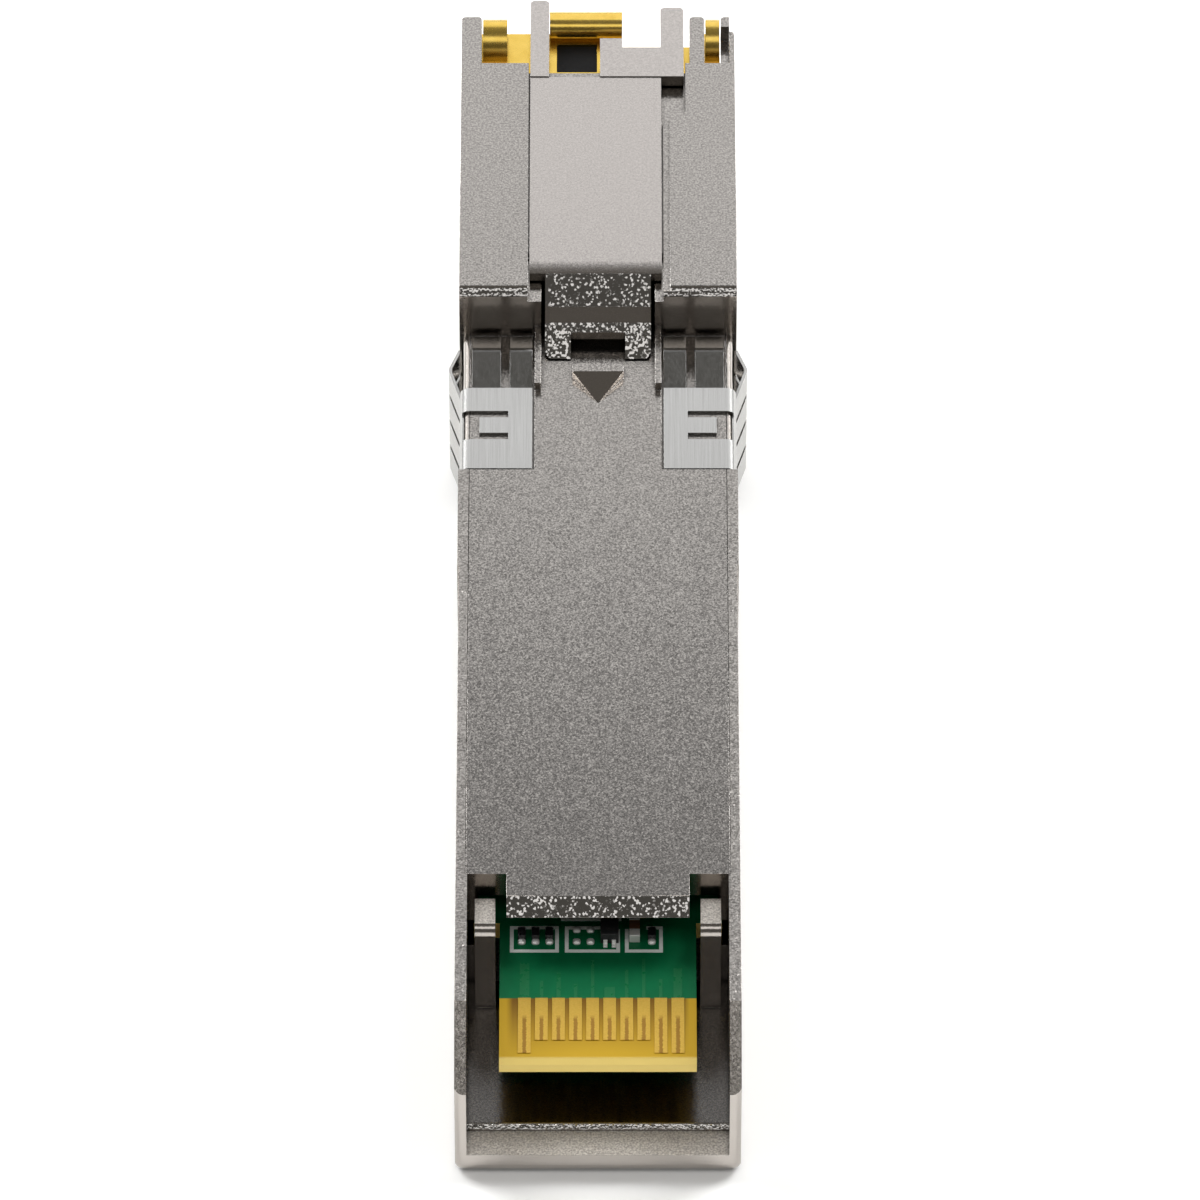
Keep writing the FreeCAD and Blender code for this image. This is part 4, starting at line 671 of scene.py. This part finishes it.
def break_edges(piece: bpy.types.Object, edge: EdgeBreak) -> None:
    """Rounds the sharp edges of a piece with modifiers, and leaves its mesh as it is.

    Args:
        piece: the object of a CAD node.
        edge: how the piece is made, which sets how round its edges are.
    """
    weld = piece.modifiers.new("join_faces", "WELD")
    weld.merge_threshold = WELD_GAP
    planes = piece.modifiers.new("whole_faces", "DECIMATE")
    planes.decimate_type = "DISSOLVE"
    planes.angle_limit = math.radians(PLANE_ANGLE)
    shading = piece.modifiers.new("shading", "NODES")
    shading.node_group = shading_group()
    bevel = piece.modifiers.new("broken_edges", "BEVEL")
    bevel.width = edge.value * MM
    bevel.segments = BREAK_SEGMENTS
    bevel.limit_method = "ANGLE"
    bevel.angle_limit = math.radians(BREAK_ANGLE)
    bevel.use_clamp_overlap = True
    bevel.miter_outer = "MITER_ARC"
    normals = piece.modifiers.new("flat_faces", "WEIGHTED_NORMAL")
    normals.keep_sharp = True


def dress(piece: bpy.types.Object, finish: Finish) -> None:
    """Puts a finish on a piece and reports it.

    Args:
        piece: the piece.
        finish: the finish that all of it gets.
    """
    if piece.material_slots:
        piece.material_slots[0].material = finish.material()
    else:
        piece.data.materials.append(finish.material())
    LOG.info("%s: %s", piece.name, finish.name)


def piece_from(name: str, shape: bmesh.types.BMesh) -> bpy.types.Object:
    """Makes a new piece of the object.

    Args:
        name: the piece's name.
        shape: its mesh in the frame's coordinates, in metres. It is used up.

    Returns:
        The new object, linked to the scene.
    """
    bmesh.ops.recalc_face_normals(shape, faces=shape.faces)
    mesh = bpy.data.meshes.new(name)
    shape.to_mesh(mesh)
    shape.free()
    made = bpy.data.objects.new(name, mesh)
    bpy.context.scene.collection.objects.link(made)
    return made


def add_bar(shape: bmesh.types.BMesh, low: tuple[float, float, float], high: tuple[float, float, float]) -> None:
    """Adds a closed bar to a mesh.

    Args:
        shape: the mesh.
        low: the bar's lowest corner, in metres.
        high: its highest corner, in metres.
    """
    made = bmesh.ops.create_cube(shape, size=1.0)
    for vertex in made["verts"]:
        share = vertex.co + Vector((0.5, 0.5, 0.5))
        vertex.co = Vector(low) + Vector(share[axis] * (high[axis] - low[axis]) for axis in range(3))


def islands(piece: bpy.types.Object) -> list[tuple[Vector, Vector]]:
    """Finds the boxes of a mesh's separate solids.

    Args:
        piece: the object whose mesh is read.

    Returns:
        The lowest and highest corner of each solid, in metres.
    """
    shape = bmesh.new()
    shape.from_mesh(piece.data)
    bmesh.ops.remove_doubles(shape, verts=shape.verts, dist=WELD_GAP)
    shape.verts.ensure_lookup_table()
    seen: set[int] = set()
    boxes = []
    for start in shape.verts:
        if start.index in seen:
            continue
        queue = [start]
        solid = []
        seen.add(start.index)
        while queue:
            vertex = queue.pop()
            solid.append(vertex.co.copy())
            for link in vertex.link_edges:
                other = link.other_vert(vertex)
                if other.index not in seen:
                    seen.add(other.index)
                    queue.append(other)
        low = Vector(min(point[axis] for point in solid) for axis in range(3))
        high = Vector(max(point[axis] for point in solid) for axis in range(3))
        boxes.append((low, high))
    shape.free()
    return boxes


@dataclass
class Housing:
    """The two die-cast halves: the shell with its side walls and the cover with the nose."""

    shell: str = "housing_shell"
    cover: str = "housing_cover"

    def dress(self) -> None:
        """Rounds the castings' edges and plates them."""
        for name, finish in ((self.shell, SHELL_CAST), (self.cover, COVER_CAST)):
            break_edges(cad_node(name), EdgeBreak.CAST)
            dress(cad_node(name), finish)


@dataclass
class LatchSlide:
    """The slide that frees the module from its cage, and the spring that returns it. Sizes are in mm."""

    slide: str = "latch_slider"
    spring: str = "slider_spring"
    joint: str = "latch_slide"
    wire: float = 0.18
    pitch: float = 0.8
    end_turns: int = 1
    turn_steps: int = 28
    wire_sides: int = 10

    def rise(self, turn: float, open_turns: float) -> float:
        """Finds how far along the spring its wire is.

        Args:
            turn: turns of the wire from its start.
            open_turns: turns between the closed turns at the two ends.

        Returns:
            The distance of the wire's middle from the spring's seat, in mm.
        """
        opened = min(max(turn - self.end_turns, 0.0), open_turns)
        return self.wire * (0.5 + turn - opened) + self.pitch * opened

    def coil_shape(self, seat: Vector, radius: float, free: float) -> bmesh.types.BMesh:
        """Winds the spring's wire.

        Args:
            seat: the middle of the spring's rear end, in metres.
            radius: the radius of the wire's middle line, in metres.
            free: the spring's length at rest, in metres.

        Returns:
            The closed mesh of the wire.
        """
        half = self.wire / 2 * MM
        open_turns = (free / MM - (2 * self.end_turns + 1) * self.wire) / self.pitch
        turns = open_turns + 2 * self.end_turns
        steps = math.ceil(turns * self.turn_steps)
        angles = [math.tau * side / self.wire_sides for side in range(self.wire_sides)]
        shape = bmesh.new()
        rings = []
        for step in range(steps + 1):
            turn = turns * step / steps
            outward = Vector((math.cos(math.tau * turn), 0.0, math.sin(math.tau * turn)))
            middle = seat + outward * radius + Vector((0.0, self.rise(turn, open_turns) * MM, 0.0))
            rings.append([
                shape.verts.new(middle + outward * half * math.cos(angle) + Vector((0.0, half * math.sin(angle), 0.0)))
                for angle in angles])
        for ring, following in zip(rings, rings[1:]):
            for side in range(self.wire_sides):
                shape.faces.new((ring[side - 1], ring[side], following[side], following[side - 1]))
        for ring in (rings[0], rings[-1]):
            shape.faces.new(ring)
        return shape

    def build(self) -> None:
        """Makes the return spring at rest; the real one shortens against the cover's lug when the slide is pulled."""
        low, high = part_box(self.spring)
        free = high.y - low.y
        seat = Vector(((low.x + high.x) / 2, low.y, (low.z + high.z) / 2))
        radius = (high.x - low.x - self.wire * MM) / 2
        shape = self.coil_shape(seat, radius, free)
        coil = piece_from("return_spring", shape)
        for face in coil.data.polygons:
            face.use_smooth = len(face.vertices) == 4
        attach(coil, Body.MODULE.value)
        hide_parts(self.spring)
        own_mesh(coil)
        dress(coil, SPRING_WIRE)

    def dress(self) -> None:
        """Plates the slide."""
        break_edges(cad_node(self.slide), EdgeBreak.CAST)
        dress(cad_node(self.slide), SLIDE_CAST)


@dataclass
class GroundClip:
    """The spring clip whose fingers earth the module to its cage."""

    clip: str = "emi_clip"

    def dress(self) -> None:
        """Gives the clip its rolled strip."""
        break_edges(cad_node(self.clip), EdgeBreak.STAMPED)
        dress(cad_node(self.clip), CLIP_STRIP)


@dataclass
class EdgeBoard:
    """The circuit board with its edge contacts, tracks, printed frames and footprints.

    Sizes are in mm; distances along the board count forwards from its rear end.
    """

    board: str = "circuit_board"
    upper_contacts: str = "edge_contacts_latch_side"
    lower_contacts: str = "edge_contacts_label_side"
    footprints: str = "footprint_pads"
    pitch: float = 0.8
    wipe_start: float = 1.2
    bevel_length: float = 0.25
    ink_width: float = 0.18
    ink_height: float = 0.02
    frame_rear: float = 6.84
    frame_front: float = 8.5
    frame_sides: tuple[tuple[float, float], ...] = ((-4.15, -1.84), (-1.56, 1.04), (1.27, 3.06))
    frame_fronts: tuple[tuple[float, float], ...] = ((-4.15, -1.84), (-1.56, 0.12), (2.27, 3.06))
    rule_rear: float = 8.85
    rule_sides: tuple[float, float] = (-1.75, 1.12)
    track_height: float = 0.015
    track_widths: tuple[float, ...] = (0.45, 0.16, 0.2, 0.16, 0.16, 0.5, 0.16, 0.16, 0.16, 0.4)
    track_lengths: tuple[float, ...] = (2.2, 1.1, 1.6, 0.9, 2.4, 0.7, 1.8, 2.5, 1.2, 1.9)
    solder_height: float = 0.12
    solder_corner: float = 0.6
    dome_sides: int = 20
    dome_rings: int = 10

    def rear(self) -> float:
        """Returns where the board's rear end is, in mm."""
        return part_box(self.board)[0][1] / MM

    def top(self) -> float:
        """Returns the height of the board's upper face, in mm."""
        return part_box(self.board)[1][2] / MM

    def pad_middles(self) -> list[float]:
        """Returns the middles of the upper contacts across the board, in mm, from left to right."""
        return sorted((low.x + high.x) / 2 / MM for low, high in islands(cad_node(self.upper_contacts)))

    def build(self) -> None:
        """Builds what is printed, etched and soldered on the board."""
        self.print_frames()
        self.lay_tracks()
        self.fill_footprints()

    def print_frames(self) -> None:
        """Prints the plain white frames round the footprints."""
        shape = bmesh.new()
        low, high = self.top() * MM, (self.top() + self.ink_height) * MM
        rear, front = (self.rear() + self.frame_rear) * MM, (self.rear() + self.frame_front) * MM
        line = self.ink_width * MM
        for left, right in self.frame_sides:
            left, right = left * MM, right * MM
            add_bar(shape, (left, rear, low), (right, rear + line, high))
            add_bar(shape, (left, rear + line, low), (left + line, front - line, high))
            add_bar(shape, (right - line, rear + line, low), (right, front - line, high))
        for left, right in self.frame_fronts:
            add_bar(shape, (left * MM, front - line, low), (right * MM, front, high))
        rule = (self.rear() + self.rule_rear) * MM
        left, right = self.rule_sides
        add_bar(shape, (left * MM, rule, low), (right * MM, rule + line, high))
        frames = piece_from("printed_frames", shape)
        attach(frames, Body.MODULE.value)
        dress(frames, PRINT_INK)

    def lay_tracks(self) -> None:
        """Lays a masked copper track forwards from each upper contact."""
        shape = bmesh.new()
        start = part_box(self.upper_contacts)[1][1]
        low, high = self.top() * MM, (self.top() + self.track_height) * MM
        for middle, width, length in zip(self.pad_middles(), self.track_widths, self.track_lengths):
            side = width / 2
            add_bar(shape, ((middle - side) * MM, start, low), ((middle + side) * MM, start + length * MM, high))
        tracks = piece_from("masked_tracks", shape)
        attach(tracks, Body.MODULE.value)
        dress(tracks, TRACK_MASK)

    def fill_footprints(self) -> None:
        """Puts a dome of reflowed tin on each pad of the footprints, with rounded square corners."""
        shape = bmesh.new()
        for low, high in islands(cad_node(self.footprints)):
            middle = (low + high) / 2
            made = bmesh.ops.create_uvsphere(
                shape, u_segments=self.dome_sides, v_segments=self.dome_rings, radius=1.0)
            half = (high - low) / 2
            for vertex in made["verts"]:
                x, y, z = vertex.co
                squared = max(abs(x), abs(y), NEARLY_ZERO) / max(math.hypot(x, y), NEARLY_ZERO)
                spread = 1 / squared ** self.solder_corner
                rise = max(z, 0.0) * self.solder_height * MM
                base = low.z if z < 0 else high.z
                vertex.co = Vector((middle.x + x * spread * half.x, middle.y + y * spread * half.y, base + rise))
        domes = piece_from("footprint_solder", shape)
        for face in domes.data.polygons:
            face.use_smooth = True
        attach(domes, Body.MODULE.value)
        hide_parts(self.footprints)
        dress(domes, SOLDER_TIN)

    def dress(self) -> None:
        """Gives the board its mask and bare end, and the contacts their worn gold."""
        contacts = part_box(self.upper_contacts)
        laminate = MaskedLaminate(
            "masked_glass_epoxy_laminate", mask_end=contacts[1][1] / MM, contact_end=contacts[0][1] / MM,
            bevel_start=self.rear() + self.bevel_length)
        dress(cad_node(self.board), laminate)
        for name in (self.upper_contacts, self.lower_contacts):
            middles = [(low.x + high.x) / 2 / MM for low, high in islands(cad_node(name))]
            gold = WornContact(
                f"wiped_hard_gold_{name}", pitch=self.pitch, first=min(middles),
                streak_start=contacts[1][1] / MM - self.wipe_start)
            dress(cad_node(name), gold)


@dataclass
class BoardParts:
    """The chips and small parts that are soldered to the board."""

    moulded: tuple[str, ...] = ("transceiver_chip", "memory_chip", "regulator_chip", "signal_chip")
    tinned: tuple[str, ...] = ("signal_chip_leads", "capacitor_terminals", "clock_crystal")
    capacitors: tuple[str, ...] = ("filter_capacitor", "chip_capacitors")
    resistors: tuple[str, ...] = ("end_resistors", "chip_resistors")
    inductor: str = "power_inductor"
    heat_pad: str = "heat_pad"

    def dress(self) -> None:
        """Gives every part the finish of its kind."""
        finishes = {name: CHIP_EPOXY for name in self.moulded}
        finishes |= {name: SOLDER_TIN for name in self.tinned}
        finishes |= {name: CAPACITOR_BODY for name in self.capacitors}
        finishes |= {name: RESISTOR_BODY for name in self.resistors}
        finishes |= {self.inductor: CORE_FERRITE, self.heat_pad: PAD_SILICONE}
        for name, finish in finishes.items():
            break_edges(cad_node(name), EdgeBreak.STAMPED)
            dress(cad_node(name), finish)


@dataclass
class Jack:
    """The port: its gold shield, black insert, contact wires and the magnetics behind it."""

    shield: str = "jack_shield"
    insert: str = "jack_housing"
    wires: str = "jack_contacts"
    magnetics: str = "magnetics_module"

    def dress(self) -> None:
        """Gives the port its gold and its black moulding."""
        break_edges(cad_node(self.shield), EdgeBreak.STAMPED)
        dress(cad_node(self.shield), SHIELD_GOLD)
        dress(cad_node(self.wires), WIRE_GOLD)
        for name in (self.insert, self.magnetics):
            break_edges(cad_node(name), EdgeBreak.MOULDED)
            dress(cad_node(name), JACK_POLYMER)


@dataclass(frozen=True)
class SoftBox:
    """A soft studio lamp that points at the object. Sizes and distance are in metres, angles in degrees.

    Azimuth counts from the far side, +Y, towards the right.
    """

    name: str
    azimuth: float
    elevation: float
    distance: float
    width: float
    height: float
    power: float

    def build(self, target: Vector) -> None:
        """Adds the lamp.

        Args:
            target: the point that the lamp faces.
        """
        lamp = bpy.data.lights.new(self.name, "AREA")
        lamp.shape = "RECTANGLE"
        lamp.size = self.width
        lamp.size_y = self.height
        lamp.energy = self.power
        made = bpy.data.objects.new(self.name, lamp)
        turn, rise = math.radians(self.azimuth), math.radians(self.elevation)
        outward = Vector((math.sin(turn) * math.cos(rise), math.cos(turn) * math.cos(rise), math.sin(rise)))
        made.location = target + outward * self.distance
        made.rotation_euler = outward.to_track_quat("Z", "Y").to_euler()
        bpy.context.scene.collection.objects.link(made)
        LOG.info("%s lamp", self.name)


# Two strips light the sides, a low panel behind fades along the flats, and two lamps over and below the camera keep its
# side from going black.
LAMPS = (
    SoftBox("left_strip", azimuth=-55.0, elevation=44.0, distance=0.9, width=0.35, height=0.7, power=6.4),
    SoftBox("right_strip", azimuth=55.0, elevation=44.0, distance=0.9, width=0.35, height=0.7, power=6.4),
    SoftBox("far_panel", azimuth=0.0, elevation=28.0, distance=0.16, width=0.5, height=0.12, power=0.2),
    SoftBox("front_strip", azimuth=180.0, elevation=65.0, distance=0.9, width=1.6, height=0.36, power=2.4),
    SoftBox("low_front", azimuth=180.0, elevation=6.0, distance=0.9, width=1.2, height=0.2, power=0.9),
)


@dataclass
class Studio:
    """The pale floor, the soft surroundings, the lamps and the camera. Camera sizes are in mm, angles in degrees."""

    target: tuple[float, float, float] = (0.097, -1.70, 5.43)
    elevation: float = 46.39
    distance: float = 628.67
    lens: float = 390.6
    sensor: float = 36.0
    nearest: float = 10.0
    floor_radius: float = 3000.0
    floor_sides: int = 96
    floor_gap: float = 0.01
    floor_colour: str = "#fdfdfc"
    floor_glow: float = 0.07
    bright: str = "#949597"
    dark: str = "#5f5d59"
    dark_axis: tuple[float, float, float] = (0.0, -0.9, 0.44)
    dark_inner: float = 80.0
    dark_outer: float = 110.0

    def build(self) -> None:
        """Builds the whole studio."""
        self.build_floor()
        self.build_surroundings()
        self.build_camera()
        for lamp in LAMPS:
            lamp.build(Vector(self.target) * MM)

    def build_floor(self) -> None:
        """Lays the floor, which shows white and keeps the object's soft shadow."""
        shape = bmesh.new()
        bmesh.ops.create_circle(shape, cap_ends=True, segments=self.floor_sides, radius=self.floor_radius * MM)
        floor = piece_from("floor", shape)
        floor.location.z = -self.floor_gap * MM
        made = bpy.data.materials.new("pale_studio_floor")
        made.use_nodes = True
        tree = made.node_tree
        tree.nodes.clear()
        paper = add_node(tree, "ShaderNodeBsdfDiffuse", inputs={"Color": linear(self.floor_colour)})
        light_path = add_node(tree, "ShaderNodeLightPath")
        seen = add_node(tree, "ShaderNodeMath", {"operation": "ADD", "use_clamp": True}, {
            0: light_path.outputs["Is Camera Ray"], 1: light_path.outputs["Is Glossy Ray"]})
        seen_through = add_node(tree, "ShaderNodeMath", {"operation": "ADD", "use_clamp": True}, {
            0: result(seen), 1: light_path.outputs["Is Transmission Ray"]})
        share = add_node(tree, "ShaderNodeMath", {"operation": "MULTIPLY"}, {
            0: result(seen_through), 1: self.floor_glow})
        glow = add_node(tree, "ShaderNodeEmission", inputs={"Strength": result(share)})
        both = add_node(tree, "ShaderNodeAddShader", inputs={0: result(paper), 1: result(glow)})
        add_node(tree, "ShaderNodeOutputMaterial", inputs={"Surface": result(both)})
        floor.data.materials.append(made)

    def build_surroundings(self) -> None:
        """Surrounds the object with soft light, with a dark ceiling over the camera's side."""
        world = bpy.data.worlds.new("studio")
        bpy.context.scene.world = world
        world.use_nodes = True
        tree = world.node_tree
        tree.nodes.clear()
        where = add_node(tree, "ShaderNodeTexCoord")
        towards = add_node(tree, "ShaderNodeVectorMath", {"operation": "DOT_PRODUCT"}, {
            0: where.outputs["Generated"], 1: Vector(self.dark_axis).normalized()})
        ceiling = add_node(tree, "ShaderNodeMapRange", {"interpolation_type": "SMOOTHSTEP"}, {
            "Value": towards.outputs["Value"], "From Min": math.cos(math.radians(self.dark_outer)),
            "From Max": math.cos(math.radians(self.dark_inner))})
        colour = add_node(tree, "ShaderNodeMix", COLOURS, {
            "Factor": result(ceiling), "A": linear(self.bright), "B": linear(self.dark)})
        light = add_node(tree, "ShaderNodeBackground", inputs={"Color": result(colour), "Strength": 1.0})
        add_node(tree, "ShaderNodeOutputWorld", inputs={"Surface": result(light)})

    def build_camera(self) -> None:
        """Places the camera at the photograph's angle."""
        data = bpy.data.cameras.new("camera")
        data.sensor_width = self.sensor
        data.sensor_fit = "HORIZONTAL"
        data.lens = self.lens
        data.clip_start = self.nearest * MM
        camera = bpy.data.objects.new("camera", data)
        rise = math.radians(self.elevation)
        outward = Vector((0.0, -math.cos(rise), math.sin(rise)))
        camera.location = (Vector(self.target) + outward * self.distance) * MM
        camera.rotation_euler = outward.to_track_quat("Z", "Y").to_euler()
        bpy.context.scene.collection.objects.link(camera)
        bpy.context.scene.camera = camera
        bpy.context.scene.view_settings.view_transform = "Standard"


def main() -> None:
    """Builds and dresses the object's sub-assemblies, then the studio."""
    logging.basicConfig(level=logging.INFO, format="%(name)s %(message)s")
    slide, board = LatchSlide(), EdgeBoard()
    slide.build()
    board.build()
    for part in (Housing(), slide, GroundClip(), board, BoardParts(), Jack()):
        part.dress()
    Studio().build()


if __name__ == "__main__":
    main()
